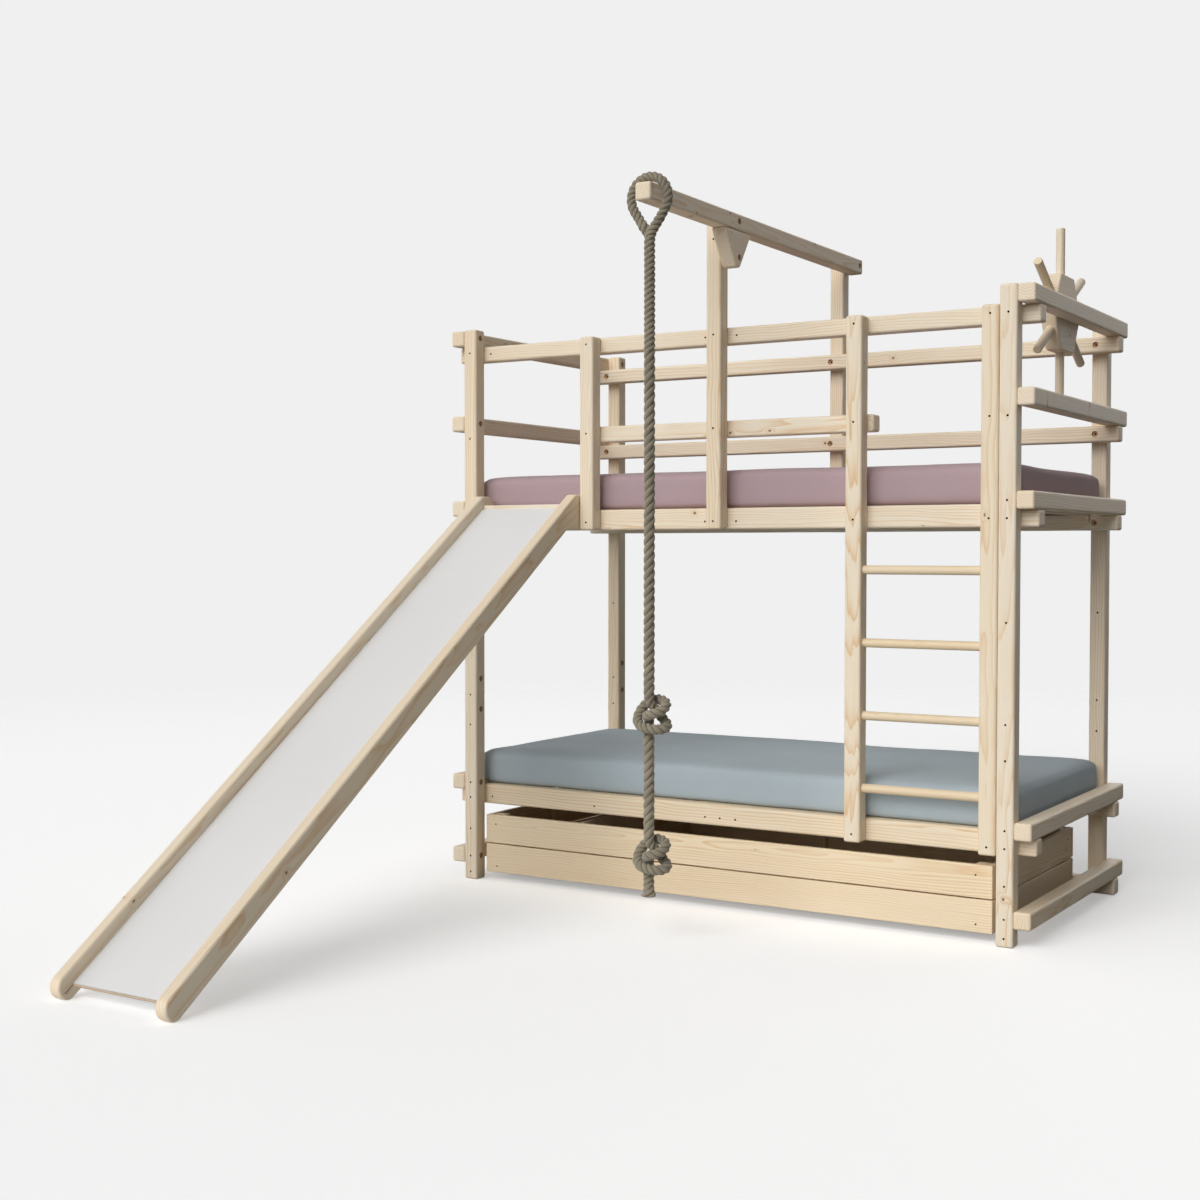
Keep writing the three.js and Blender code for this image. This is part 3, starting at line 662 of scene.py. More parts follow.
class BunkBedSettings(bpy.types.PropertyGroup):
    edge_round: bpy.props.FloatProperty(
        name="Edge rounding", description="Radius of the timbers' edges",
        default=0.0078, min=0.0, unit="LENGTH",
    )
    hole_radius: bpy.props.FloatProperty(
        name="Pilot hole radius", description="Radius of the small holes on the timbers' fronts",
        default=0.0034, min=0.0005, unit="LENGTH",
    )
    counterbore_radius: bpy.props.FloatProperty(
        name="Counterbore radius", description="Radius of the recesses that hold the bolt heads",
        default=0.0105, min=0.001, unit="LENGTH",
    )
    rope_pitch: bpy.props.FloatProperty(
        name="Rope lay", description="Length in which a strand goes once round the rope",
        default=0.079, min=0.01, unit="LENGTH",
    )
    cover_ripple: bpy.props.FloatProperty(
        name="Cover ripple", description="Height of the soft waves along the mattresses' edges",
        default=0.009, min=0.0, unit="LENGTH",
    )
    spruce_pale: bpy.props.FloatVectorProperty(
        name="Early wood", description="Colour between the growth rings",
        default=(0.835, 0.765, 0.65), subtype="COLOR",
    )
    spruce_ring: bpy.props.FloatVectorProperty(
        name="Late wood", description="Colour of the growth rings",
        default=(0.70, 0.47, 0.25), subtype="COLOR",
    )
    ring_spacing: bpy.props.FloatProperty(
        name="Ring spacing", description="Distance between the growth rings",
        default=0.0075, min=0.001, unit="LENGTH",
    )
    rung_pale: bpy.props.FloatVectorProperty(
        name="Rung wood", description="Colour of the rungs", default=(0.80, 0.69, 0.52), subtype="COLOR",
    )
    upper_cover: bpy.props.FloatVectorProperty(
        name="Upper cover", description="Colour of the upper mattress cover",
        default=(0.43, 0.315, 0.335), subtype="COLOR",
    )
    lower_cover: bpy.props.FloatVectorProperty(
        name="Lower cover", description="Colour of the lower mattress cover",
        default=(0.41, 0.475, 0.51), subtype="COLOR",
    )
    laminate: bpy.props.FloatVectorProperty(
        name="Laminate", description="Colour of the slide's surface",
        default=(0.775, 0.77, 0.765), subtype="COLOR",
    )
    rope_colour: bpy.props.FloatVectorProperty(
        name="Rope", description="Mean colour of the rope's fibres",
        default=(0.285, 0.243, 0.166), subtype="COLOR",
    )
    backdrop: bpy.props.FloatProperty(
        name="Backdrop", description="Brightness of the backdrop", default=0.871, min=0.0, max=1.0,
    )
    floor_bounce: bpy.props.FloatProperty(
        name="Floor bounce", description="Share of the light that the floor before the slide sends back up",
        default=0.88, min=0.0, max=1.0,
    )
    sky_light: bpy.props.FloatProperty(
        name="Sky light", description="Strength of the even light from all sides", default=0.06, min=0.0,
    )
    lamp_level: bpy.props.FloatProperty(
        name="Lamp level", description="Strength of all the lamps together", default=1.0, min=0.0,
    )
    floor_lift: bpy.props.FloatProperty(
        name="Floor lift", description="Brightness that the pale floor keeps in the shadows",
        default=0.331, min=0.0, max=1.0,
    )
    floor_pale: bpy.props.FloatProperty(
        name="Floor colour", description="Brightness of the floor's own colour",
        default=0.92, min=0.0, max=1.0,
    )


# Rope route, along, back and up in millimetres from the middle of the crane beam and the floor

KNOT = [
    (0.5, -1, 104), (3, -5, 88), (6, -10, 73), (8.5, -14, 58), (9.5, -14, 43), (12.5, -9, 30), (18, 0, 19),
    (23, 9, 8), (30, 17, -5), (39, 20, -17), (50, 18, -27), (57, 8, -35), (56, -6, -40), (46, -17, -42),
    (31, -23, -42), (14, -25, -41), (-3, -25, -38), (-18, -21, -33), (-30, -15, -22), (-34, -6, -9),
    (-32, 3, 6), (-26, 11, 19), (-16, 17, 31), (-3, 21, 39), (12, 23, 43), (28, 21, 42), (43, 17, 38),
    (54, 8, 31), (57, -4, 23), (53, -16, 14), (42, -26, 8), (28, -30, 3), (13, -27, -1), (3, -18, -5),
    (-1, -4, -10), (-5, 8, -20), (-8, 14, -34), (-9, 15, -49), (-7, 11, -65), (-4, 7, -80), (-2, 3, -96),
]
ROPE_RADIUS = 15.0
EYE_RADIUS = 62.5
EYE_HEIGHT = 2216.0
TUCK = EYE_HEIGHT - 80
CLOSE = EYE_HEIGHT - 130
KNOT_HEIGHTS = (687, 268)
# Above this height the rope is laid more tightly
LAY_CHANGE = 1760
GROOVE = 0.3
ROPE_END = 141


def below_beam(places):
    """Places of the rope's route in the row frame."""
    low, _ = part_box("crane_beam")
    foot = Vector((middle("crane_beam", 0), low.y + 43 * MM, 0))
    return [foot + Vector(place) * MM for place in places]


def rope_route():
    """The points that the rope follows, from the end tucked in at its eye to its sealed end."""
    points = [(-22.5, 0, TUCK), (-30, 0, TUCK + 11.5), (-40, 0, TUCK + 27)]
    for step in range(21):
        x, z = polar(EYE_RADIUS, math.radians(213 - 12.3 * step))
        points.append((x, 0, EYE_HEIGHT + z))
    points += [(x, 0, CLOSE + z) for x, z in ((37, 71), (21, 50), (8, 32), (1.5, 15), (0, 0))]
    start = CLOSE
    for height in KNOT_HEIGHTS:
        end = height + KNOT[0][2]
        count = math.ceil((start - end) / 75)
        points += [(0, 0, start + (end - start) * i / count) for i in range(1, count)]
        points += [(x, y, height + z) for x, y, z in KNOT]
        start = height + KNOT[-1][2]
    points += [(0, 0, ROPE_END + z) for z in (22, 8, 0)]
    return below_beam(points)


def smoothed(points, step):
    """Points a step apart along a smooth curve through the given ones, and the curve's length."""
    dense = []
    padded = [points[0] * 2 - points[1], *points, points[-1] * 2 - points[-2]]
    for p0, p1, p2, p3 in zip(padded, padded[1:], padded[2:], padded[3:]):
        d0, d1, d2 = (max(1e-5, (b - a).length) ** 0.5 for a, b in ((p0, p1), (p1, p2), (p2, p3)))
        m1 = ((p1 - p0) / d0 - (p2 - p0) / (d0 + d1) + (p2 - p1) / d1) * d1
        m2 = ((p2 - p1) / d1 - (p3 - p1) / (d1 + d2) + (p3 - p2) / d2) * d1
        for t in (i / 8 for i in range(8)):
            ends = p1 * (2 * t**3 - 3 * t**2 + 1) + p2 * (3 * t**2 - 2 * t**3)
            dense.append(ends + m1 * (t**3 - 2 * t**2 + t) + m2 * (t**3 - t**2))
    dense.append(points[-1])
    lengths = [0.0]
    for a, b in zip(dense, dense[1:]):
        lengths.append(lengths[-1] + (b - a).length)
    count = round(lengths[-1] / step)
    result, segment = [], 0
    for i in range(count + 1):
        want = lengths[-1] * i / count
        while segment < len(dense) - 2 and lengths[segment + 1] < want:
            segment += 1
        t = (want - lengths[segment]) / (lengths[segment + 1] - lengths[segment])
        result.append(dense[segment].lerp(dense[segment + 1], min(1.0, t)))
    return result, lengths[-1]


def strand_profile(angle):
    """Distance from the rope's middle to its surface as a share of its radius, for three strands."""
    off = abs((angle + math.pi / 3) % (2 * math.pi / 3) - math.pi / 3) / (math.pi / 3)
    return 1 - GROOVE * off**2.4


def laid_mesh(name, rings):
    """A closed tube through rings of (place, turn round the rope, length along it, share of radius)."""
    bm = bmesh.new()
    layer = bm.verts.layers.float_vector.new("lay")
    made = []
    for ring in rings:
        made.append([])
        for place, turn, run, share in ring:
            vert = bm.verts.new(place)
            vert[layer] = (turn, run, (share - 1 + GROOVE) / GROOVE)
            made[-1].append(vert)
    skin(bm, made)
    return built(name, bm)


def laid_tube(name, points, sizes, pitches, run=0.0, sides=24):
    """Three twisted strands along evenly spaced points."""
    rings = []
    twist = 2 * math.pi * run / pitches[0]
    side = Vector((0, 1, 0))
    last = len(points) - 1
    for i, (point, size, pitch) in enumerate(zip(points, sizes, pitches)):
        tangent = (points[min(i + 1, last)] - points[max(i - 1, 0)]).normalized()
        side = (side - tangent * side.dot(tangent)).normalized()
        up = tangent.cross(side)
        if i:
            step = (point - points[i - 1]).length
            run += step
            twist += 2 * math.pi * step / pitch
        ring = []
        for angle in (2 * math.pi * k / sides for k in range(sides)):
            share = strand_profile(angle - twist)
            across, over = polar(size * share, angle)
            ring.append((point + side * across + up * over, (angle - twist) / (2 * math.pi), run, share))
        rings.append(ring)
    return laid_mesh(name, rings)


def rope_splice(pitch):
    """The end of the rope, thinned and tucked behind the standing part below the eye."""
    places = [(0, 1, CLOSE - 34), (-0.5, 2, CLOSE - 18), (-1.5, 4, CLOSE + 2), (-5, 6, CLOSE + 18)]
    places += [(-11, 5, CLOSE + 31), (-16.5, 2, CLOSE + 41), (-22.5, 0, TUCK), (-26.3, 0, TUCK + 5.8)]
    points, length = smoothed(below_beam(places), 0.003)
    overlap = 6.9 * MM
    thickness = [(0.0, 8.0), (0.3, 12.5), (0.55, 15.0), (0.9, 16.6), (1.0, 15.0)]
    sizes = []
    for i in range(len(points)):
        t = i / (len(points) - 1)
        (t0, r0), (t1, r1) = next(pair for pair in zip(thickness, thickness[1:]) if t <= pair[1][0])
        sizes.append((r0 + (r1 - r0) * (t - t0) / (t1 - t0)) * MM)
    splice = laid_tube("Climbing_rope_splice", points, sizes, [pitch] * len(points), overlap - length)
    return place_piece(splice, "rope_fibre", ROPE)


def rope_tuft(tip, radius, pitch):
    """The three strands' loose ends, which open out below the sealed cut."""
    sides, steps, height, overlap = 36, 12, 0.024, 0.0005
    rings = []
    for t in (i / steps for i in range(steps, -1, -1)):
        twist = -2 * math.pi * height * t / pitch
        open_out = 1.13 * (1.0 + 0.45 * t**1.7) * (1.0 if t < 0.93 else 0.9)
        ring = []
        for angle in (2 * math.pi * k / sides for k in range(sides)):
            lobe = strand_profile(angle - twist)
            yarn = 1 + 0.03 * math.sin(angle * 12 + 1.3) * t
            x, y = polar(radius * open_out * (lobe + (1 - lobe) * 0.35 * t) * yarn, angle)
            place = tip + Vector((x, y, height * (1 - t) - overlap))
            ring.append((place, angle / (2 * math.pi), height * t, lobe))
        rings.append(ring)
    return place_piece(laid_mesh("Climbing_rope_tuft", rings), "rope_fibre", ROPE)


class BED_OT_rope(bpy.types.Operator):
    """Climbing rope with an eye over the crane beam and two knots"""

    bl_idname = "bunk_bed.rope"
    bl_label = "Climbing Rope"

    def execute(self, context):
        points, length = smoothed(rope_route(), 0.0032)
        radius = ROPE_RADIUS * MM
        loose = settings().rope_pitch
        tight = loose * 0.66
        hanging, knotted, eye_start, knot_reach = 1.13, 1.05, 60, 50
        sizes, pitches = [], []
        for point in points:
            z = point.z / MM
            near = min(abs(z - knot) for knot in KNOT_HEIGHTS)
            in_eye = min(1.0, max(0.0, (z - CLOSE) / eye_start))
            sizes.append(radius * (knotted if near < knot_reach else hanging + (1 - hanging) * in_eye))
            loosely = near > knot_reach + 5 and KNOT_HEIGHTS[1] < z < LAY_CHANGE
            pitches.append(loose if loosely else tight)
        rope = laid_tube("Climbing_rope_laid", points, sizes, pitches)
        place_piece(rope, "rope_fibre", ROPE, ["climbing_rope"])
        extras = [rope_splice(tight), rope_tuft(points[-1], radius, tight)]
        return {"FINISHED"}


# Timbers of the bed

POSTS_FRONT = ("post_front_left", "post_front_right")
POSTS_BACK = ("post_back_left", "post_back_right")
STILES = ("ladder_stile_left", "ladder_stile_right")
FRONT_UPRIGHTS = (*POSTS_FRONT, "slide_upright", "crane_upright_front", *STILES)
FRONT_RAILS = [f"guard_rail_front_{level}" for level in ("top", "mid")]
FRONT_RAILS += [f"side_rail_front_{level}" for level in ("upper", "lower")]
LEVELS = ("top", "mid", "upper", "lower", "floor")
# Heights of the posts' spare holes and of the lowest hole on their fronts
SPARE_PILOTS = (0.962, 0.661, 0.554)
SPARE_RECESSES = (0.718, 0.609)
LOWEST_PILOT = 0.182
# Screws above the underside of a rail
RAIL_SCREW = 0.027
SIDE_RAIL_SCREW = 0.026
FLOOR_RAIL_SCREW = 0.024


def screw_height(rail):
    """Height of the screws through a long rail: the middle of its ends."""
    return corner(rail).z + (SIDE_RAIL_SCREW if rail.startswith("side") else RAIL_SCREW)


def pilot(x, face, z):
    """A small hole in a front face."""
    return (Vector((x, face, z)), (0, 1, 0), settings().hole_radius, PILOT_DEPTH)


def counterbore(mouth, way):
    return (Vector(mouth), way, settings().counterbore_radius, RECESS_DEPTH)


def upright_pilots(node):
    """Small holes on the front of an upright, where rails cross it and in the posts' spare rows."""
    low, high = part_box(node)
    front = node in FRONT_UPRIGHTS
    heights = []
    if front:
        heights += [z for z in map(screw_height, FRONT_RAILS) if low.z < z < high.z]
    if node.startswith("post"):
        heights += SPARE_PILOTS
        if front:
            heights += [middle(f"cross_rail_left_{level}", 2) for level in LEVELS[2:]]
            heights += [corner("floor_rail_back").z + FLOOR_RAIL_SCREW, LOWEST_PILOT]
    return [pilot(middle(node, 0), low.y, z) for z in heights]


def post_counterbores(node):
    """Recesses on the inner face of a post, level with the cross rails."""
    low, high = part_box(node)
    face, way = (high.x, (-1, 0, 0)) if node.endswith("left") else (low.x, (1, 0, 0))
    heights = [middle(f"cross_rail_left_{level}", 2) for level in LEVELS]
    return [counterbore((face, middle(node, 1), z), way) for z in (*heights, *SPARE_RECESSES)]


def back_rail_counterbores(rail):
    low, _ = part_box(rail)
    columns = [middle(post, 0) for post in POSTS_BACK]
    if corner("crane_upright_back").z < low.z + 0.03:
        columns.append(middle("crane_upright_back", 0))
    return [counterbore((x, low.y, screw_height(rail)), (0, 1, 0)) for x in columns]


class BED_OT_posts(bpy.types.Operator):
    """Corner posts and the uprights that stand on the front rails"""

    bl_idname = "bunk_bed.posts"
    bl_label = "Posts and Uprights"

    def execute(self, context):
        for node in POSTS_FRONT + POSTS_BACK:
            timber(node, upright_pilots(node) + post_counterbores(node))
        timber("slide_upright", upright_pilots("slide_upright"))
        return {"FINISHED"}


def rail_pilots(rail, spots):
    """Small holes along the front of a rail, from millimetres along the bed."""
    return [pilot(along_bed(x), corner(rail).y, screw_height(rail)) for x in spots]


class BED_OT_rails(bpy.types.Operator):
    """Cross rails, guard rails, the floor rail and the notched side rails"""

    bl_idname = "bunk_bed.rails"
    bl_label = "Rails"

    def execute(self, context):
        for side in SIDES:
            for level in LEVELS:
                timber(f"cross_rail_{side}_{level}")
        timber(FRONT_RAILS[0], rail_pilots(FRONT_RAILS[0], (80, 945, 1060)))
        timber(FRONT_RAILS[1])
        for rail in ("guard_rail_back_top", "guard_rail_back_mid", "floor_rail_back"):
            timber(rail, back_rail_counterbores(rail))
        for level, spots in (("upper", (945, 1060)), ("lower", (84, 515, 948, 1003, 1060))):
            front, back = f"side_rail_front_{level}", f"side_rail_back_{level}"
            notched_rail(front, level, rail_pilots(front, spots))
            notched_rail(back, level, back_rail_counterbores(back))
        return {"FINISHED"}


def notched_rail(node, level, holes):
    """A deep rail whose ends are notched for the cross rails."""
    low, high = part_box(node)
    left = corner(f"cross_rail_left_{level}", True).x
    right = corner(f"cross_rail_right_{level}").x
    notch = corner(f"cross_rail_left_{level}").z
    outline = [(low.x, low.z), (high.x, low.z), (high.x, notch), (right, notch), (right, high.z)]
    outline += [(left, high.z), (left, notch), (low.x, notch)]
    bm = bmesh.new()
    prism_into(bm, outline, low.y, high.y, 1, settings().edge_round)
    made = built(pretty(node) + "_timber", bm)
    pierced(made, holes)
    return grown(made, node, 0)


class BED_OT_ladder(bpy.types.Operator):
    """Ladder stiles and their round rungs"""

    bl_idname = "bunk_bed.ladder"
    bl_label = "Ladder"

    def execute(self, context):
        for node in STILES:
            timber(node, upright_pilots(node))
        for i in range(1, 5):
            node = f"ladder_rung_{i}"
            low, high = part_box(node)
            y, z = middle(node, 1), middle(node, 2)
            bm = bmesh.new()
            rod_into(bm, (low.x, y, z), (high.x, y, z), (high.z - low.z) / 2, 40)
            grown(built(pretty(node) + "_dowel", bm), node, 0, finish="rung_wood")
        return {"FINISHED"}


class BED_OT_crane(bpy.types.Operator):
    """Crane uprights, the beam above the bed and its gusset"""

    bl_idname = "bunk_bed.crane"
    bl_label = "Crane"

    def execute(self, context):
        front, beam, gusset = "crane_upright_front", "crane_beam", "crane_gusset"
        top_screw, beam_screw, gusset_screw, nose, nose_width = 0.077, 0.003, 0.085, 0.008, 0.027
        spot = pilot(middle(front, 0), corner(front).y, corner(front, True).z - top_screw)
        timber(front, [spot, *upright_pilots(front)])
        timber("crane_upright_back")
        rows = (middle(front, 1), middle("crane_upright_back", 1))
        face, z = corner(beam, True).x, middle(beam, 2) + beam_screw
        timber(beam, [counterbore((face, y, z), (-1, 0, 0)) for y in rows])
        low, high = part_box(gusset)
        foot = corner(front).y + nose
        outline = [(low.y, high.z), (foot, low.z), (foot + nose_width, low.z), (high.y, high.z)]
        bm = bmesh.new()
        prism_into(bm, outline, low.x, high.x, 0, settings().edge_round)
        made = built("Crane_gusset_block", bm)
        pierced(made, [counterbore((high.x, rows[0], high.z - gusset_screw), (-1, 0, 0))])
        grown(made, gusset, 2, 77)
        return {"FINISHED"}


# Slatted bases


def copies_on(group, out, points, instance, finish, **ins):
    """Ends a tree in copies on points, made real and given their material."""
    copies = put(group, "GeometryNodeInstanceOnPoints", {"Points": points, "Instance": instance, **ins})
    real = put(group, "GeometryNodeRealizeInstances", {"Geometry": copies.outputs[0]})
    ins = {"Geometry": real.outputs[0], "Material": finish}
    feed(out, {0: put(group, "GeometryNodeSetMaterial", ins).outputs[0]})
    return group


def slat_tree():
    """Slats along +X, each a board of the given size."""
    inputs = [
        ("Geometry", GEOMETRY, None), ("Count", "NodeSocketInt", 14), ("Pitch", FLOAT, 0.14),
        ("Width", FLOAT, 0.07), ("Length", FLOAT, 0.81), ("Thickness", FLOAT, 0.018),
        ("Start", VECTOR, None), ("Finish", "NodeSocketMaterial", None),
    ]
    group, given, out = new_group("Slats in a row", "GeometryNodeTree", inputs, [("Geometry", GEOMETRY)])
    step = put(group, "ShaderNodeCombineXYZ", {0: given["Pitch"]}).outputs[0]
    ins = {"Count": given["Count"], "Start Location": given["Start"], "Offset": step}
    line = put(group, "GeometryNodeMeshLine", ins).outputs[0]
    ins = {0: given["Width"], 1: given["Length"], 2: given["Thickness"]}
    size = put(group, "ShaderNodeCombineXYZ", ins).outputs[0]
    board = put(group, "GeometryNodeMeshCube", {"Size": size}).outputs[0]
    return copies_on(group, out, line, board, given["Finish"])


def run_tree(made, group, **values):
    """Turns an object's mesh into what a Geometry Nodes tree makes of it with these inputs."""
    modifier = made.modifiers.new("Nodes", "NODES")
    modifier.node_group = group
    for item in group.interface.items_tree:
        if item.in_out == "INPUT" and item.name in values:
            modifier[item.identifier] = values[item.name]
    return baked(made)


class BED_OT_slatted_bases(bpy.types.Operator):
    """Slats and ledgers that carry the mattresses"""

    bl_idname = "bunk_bed.slatted_bases"
    bl_label = "Slatted Bases"

    def execute(self, context):
        group = slat_tree()
        count, width, thickness, ledger, play = 14, 0.070, 0.018, 0.024, 0.001
        for level in ("upper", "lower"):
            node = f"slatted_base_{level}"
            low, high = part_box(node)
            pitch = (high.x - low.x - width) / (count - 1)
            slats = link_object(f"Slats_{level}", bpy.data.meshes.new("slats"))
            start = (low.x + width / 2, middle(node, 1), high.z - thickness / 2)
            sizes = {"Pitch": pitch, "Width": width, "Length": high.y - low.y - play, "Thickness": thickness}
            run_tree(slats, group, Count=count, Start=start, Finish=finish_of("spruce"), **sizes)
            bevel = slats.modifiers.new("Rounded", "BEVEL")
            bevel.width = 0.002
            bevel.segments = 2
            baked(slats)
            each = len(slats.data.vertices) // count
            for i in range(count):
                x = low.x + i * pitch
                rule = grain_of((x, low.y, high.z - thickness), (x + width, high.y, high.z), 1, 900 + i)
                write_grain(slats.data, rule, i * each, (i + 1) * each)
            place_piece(slats, "spruce", BED, [node])
            bm = bmesh.new()
            for y0, y1 in ((low.y, low.y + ledger), (high.y - ledger, high.y)):
                a, b = (low.x, y0, low.z), (high.x, y1, high.z - thickness)
                block_into(bm, a, b, 0.002, 2, grain_of(a, b, 0, round(y0 * 1000)))
            place_piece(built(f"Ledgers_{level}", bm), "spruce", BED)
        return {"FINISHED"}


# Mattresses


def mattress_mesh(low, high, ripple, seed):
    """A crowned mattress in a loose cover: sides drawn in, its upper edge in soft waves."""
    half = (high - low) / 2
    centre = (low + high) / 2
    crown, round_edge, round_foot, drawn_in = 0.007, 0.028, 0.008, 0.006
    broad, fine = 2.6, 7.5
    counts = (66, 30, 6)
    bm = bmesh.new()
    points = {}

    def vertex(key):
        if key in points:
            return points[key]
        flat = [2 * h * v / n - h for v, n, h in zip(key, counts, half)]
        squash = round_foot / round_edge if flat[2] < 0 else 1.0
        reach = (round_edge, round_edge, round_edge * squash)
        core = [max(-h + r, min(h - r, v)) for v, h, r in zip(flat, half, reach)]
        away = Vector([f - c for f, c in zip(flat, core)])
        away.z /= squash
        if away.length > 0:
            away = away.normalized() * round_edge
        away.z *= squash
        co = Vector(core) + away
        share = [co[i] / half[i] for i in range(3)]
        across = [max(0.0, 1 - share[i] ** 2) for i in range(2)]
        top = max(0.0, share[2])
        edge = max(abs(share[0]) ** 8, abs(share[1]) ** 8)
        wave = noise.noise(Vector((co.x * broad, co.y * broad, seed)))
        crease = noise.noise(Vector((co.x * fine, co.y * fine, seed + 9)))
        co.z += top * (crown * (across[0] * across[1]) ** 0.3 - crown * 0.95)
        co.z += top * ripple * (wave * 0.7 - 0.35) * (0.5 + edge)
        for i in range(2):
            co[i] -= math.copysign(drawn_in, co[i]) * across[1 - i] * abs(share[i]) ** 6
        co.y += math.copysign(1, co.y) * edge * crease * ripple * 0.35 * (1 - top)
        points[key] = bm.verts.new(centre + co)
        return points[key]

    for axis in range(3):
        a, b = [i for i in range(3) if i != axis]
        for end in (0, counts[axis]):
            for u in range(counts[a]):
                for v in range(counts[b]):
                    quad = []
                    for du, dv in ((0, 0), (1, 0), (1, 1), (0, 1)):
                        key = [u + du, v + dv]
                        key.insert(axis, end)
                        quad.append(vertex(tuple(key)))
                    bm.faces.new(quad)
    bmesh.ops.recalc_face_normals(bm, faces=bm.faces[:])
    return bm


def puffed(made, cap):
    """Lets the cover fill by cloth simulation, no point moving further than the cap."""
    remesh = made.modifiers.new("Even", "REMESH")
    remesh.mode = "VOXEL"
    remesh.voxel_size = 0.013
    baked(made)
    before = [v.co.copy() for v in made.data.vertices]
    cloth = made.modifiers.new("Cover", "CLOTH")
    frames = 20
    for key, value in {
        "quality": 4,
        "mass": 0.3,
        "tension_stiffness": 18,
        "compression_stiffness": 12,
        "bending_stiffness": 1.5,
        "use_pressure": True,
        "uniform_pressure_force": 3.0,
    }.items():
        setattr(cloth.settings, key, value)
    cloth.settings.effector_weights.gravity = 0
    cloth.point_cache.frame_start = 1
    cloth.point_cache.frame_end = frames
    for number in range(1, frames + 1):
        bpy.context.scene.frame_set(number)
    baked(made)
    bpy.context.scene.frame_set(1)
    for vertex, old in zip(made.data.vertices, before):
        move = vertex.co - old
        if move.length > cap:
            vertex.co = old + move.normalized() * cap


class BED_OT_mattresses(bpy.types.Operator):
    """Two crowned mattresses in jersey covers"""

    bl_idname = "bunk_bed.mattresses"
    bl_label = "Mattresses"

    def execute(self, context):
        ripple = settings().cover_ripple
        inset = Vector((0.003, 0.003, 0.0))
        for level, finish, seed in (("upper", "mauve_cover", 3.1), ("lower", "grey_cover", 8.4)):
            node = f"mattress_{level}"
            low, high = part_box(node)
            made = built(pretty(node) + "_cover", mattress_mesh(low + inset, high - inset, ripple, seed))
            puffed(made, 0.006)
            for vertex in made.data.vertices:
                vertex.co.z = max(vertex.co.z, low.z)
            smooth = made.modifiers.new("Smooth", "SUBSURF")
            smooth.levels = smooth.render_levels = 1
            baked(made)
            place_piece(made, finish, BED, [node])
        return {"FINISHED"}


# Slide

SLIDE_FOOT = 0.035


def slide_lines():
    """The foot of the slide's centre line and its slope, from the stringer, a post and a side rail."""
    foot = Vector((corner("slide_stringer_left").y + SLIDE_FOOT, SLIDE_FOOT))
    top = Vector((corner("post_front_left").y, corner("side_rail_front_upper", True).z + 0.020))
    return foot, math.atan2(top.y - foot.y, top.x - foot.x)


def stringer_outline(foot, slope):
    back, under = corner("side_rail_front_upper").yz
    nose = corner("slide_stringer_left", True).z
    across = SLIDE_FOOT / math.cos(slope)
    outline = []
    for i in range(25):
        outline.append(foot + Vector(polar(SLIDE_FOOT, slope + math.pi / 2 + math.pi * i / 24)))
    outline += [(foot.x + (under - foot.y + across) / math.tan(slope), under), (back, under)]
    for i in range(13):
        pair = Vector(polar(SLIDE_FOOT, math.pi / 2 * i / 12))
        outline.append(Vector((back - SLIDE_FOOT, nose - SLIDE_FOOT)) + pair)
    outline.append((foot.x + (nose - foot.y - across) / math.tan(slope), nose))
    return outline


class BED_OT_slide(bpy.types.Operator):
    """Slide: stringers, laminated panel, sill, batten and the panel's edge strip"""

    bl_idname = "bunk_bed.slide"
    bl_label = "Slide"

    def execute(self, context):
        foot, slope = slide_lines()
        turn = Matrix.Rotation(-slope, 3, "X")
        left, right = corner("slide_stringer_left", True).x, corner("slide_stringer_right").x
        along = Vector((0, *polar(1, slope)))
        out = Vector((0, -along.z, along.y))
        low = corner("slide_panel")
        end = Vector((0, low.y, foot.y + (low.y - foot.x) * math.tan(slope) - 0.001 / math.cos(slope)))

        def sloped(name, size, x, back, down):
            """A block turned to lie along the slide, at a place from the panel's lower end."""
            bm = bmesh.new()
            block_into(bm, Vector(size) * -0.5, Vector(size) * 0.5, 0.001, 2)
            place = end + Vector((x, 0, 0)) - along * back - out * down
            bm.transform(Matrix.Translation(place) @ Matrix.Rotation(slope, 4, "X"))
            return built(name, bm)

        for side, face in zip(SIDES, (left, right)):
            node = f"slide_stringer_{side}"
            low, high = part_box(node)
            bm = bmesh.new()
            prism_into(bm, stringer_outline(foot, slope), low.x, high.x, 0, 0.0072)
            made = built(pretty(node) + "_board", bm)
            cut_out(made, sloped("Groove_cutter", (0.014, 0.036, 0.0045), face, 0.015, 0.004))
            grown(made, node, 1, turn=turn)
        bm = bmesh.new()
        block_into(bm, *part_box("slide_sill"), 0.003)
        grown(built("Slide_sill_board", bm), "slide_sill", 0, 31)
        batten = "slide_cross_batten"
        bm = bmesh.new()
        bm.from_mesh(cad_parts[batten].data)
        bmesh.ops.remove_doubles(bm, verts=bm.verts[:], dist=1e-5)
        grown(built("Slide_cross_batten_board", bm), batten, 0, 32, smooth=False)
        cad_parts["slide_panel"].material_slots[0].material = finish_of("slide_laminate")
        size = (right - left - 0.0006, 0.0032, 0.0086)
        strip = sloped("Slide_edge_strip", size, (left + right) / 2, 0.0026, 0.0045)
        place_piece(strip, "plywood_edge", BED)
        return {"FINISHED"}


# Steering wheel


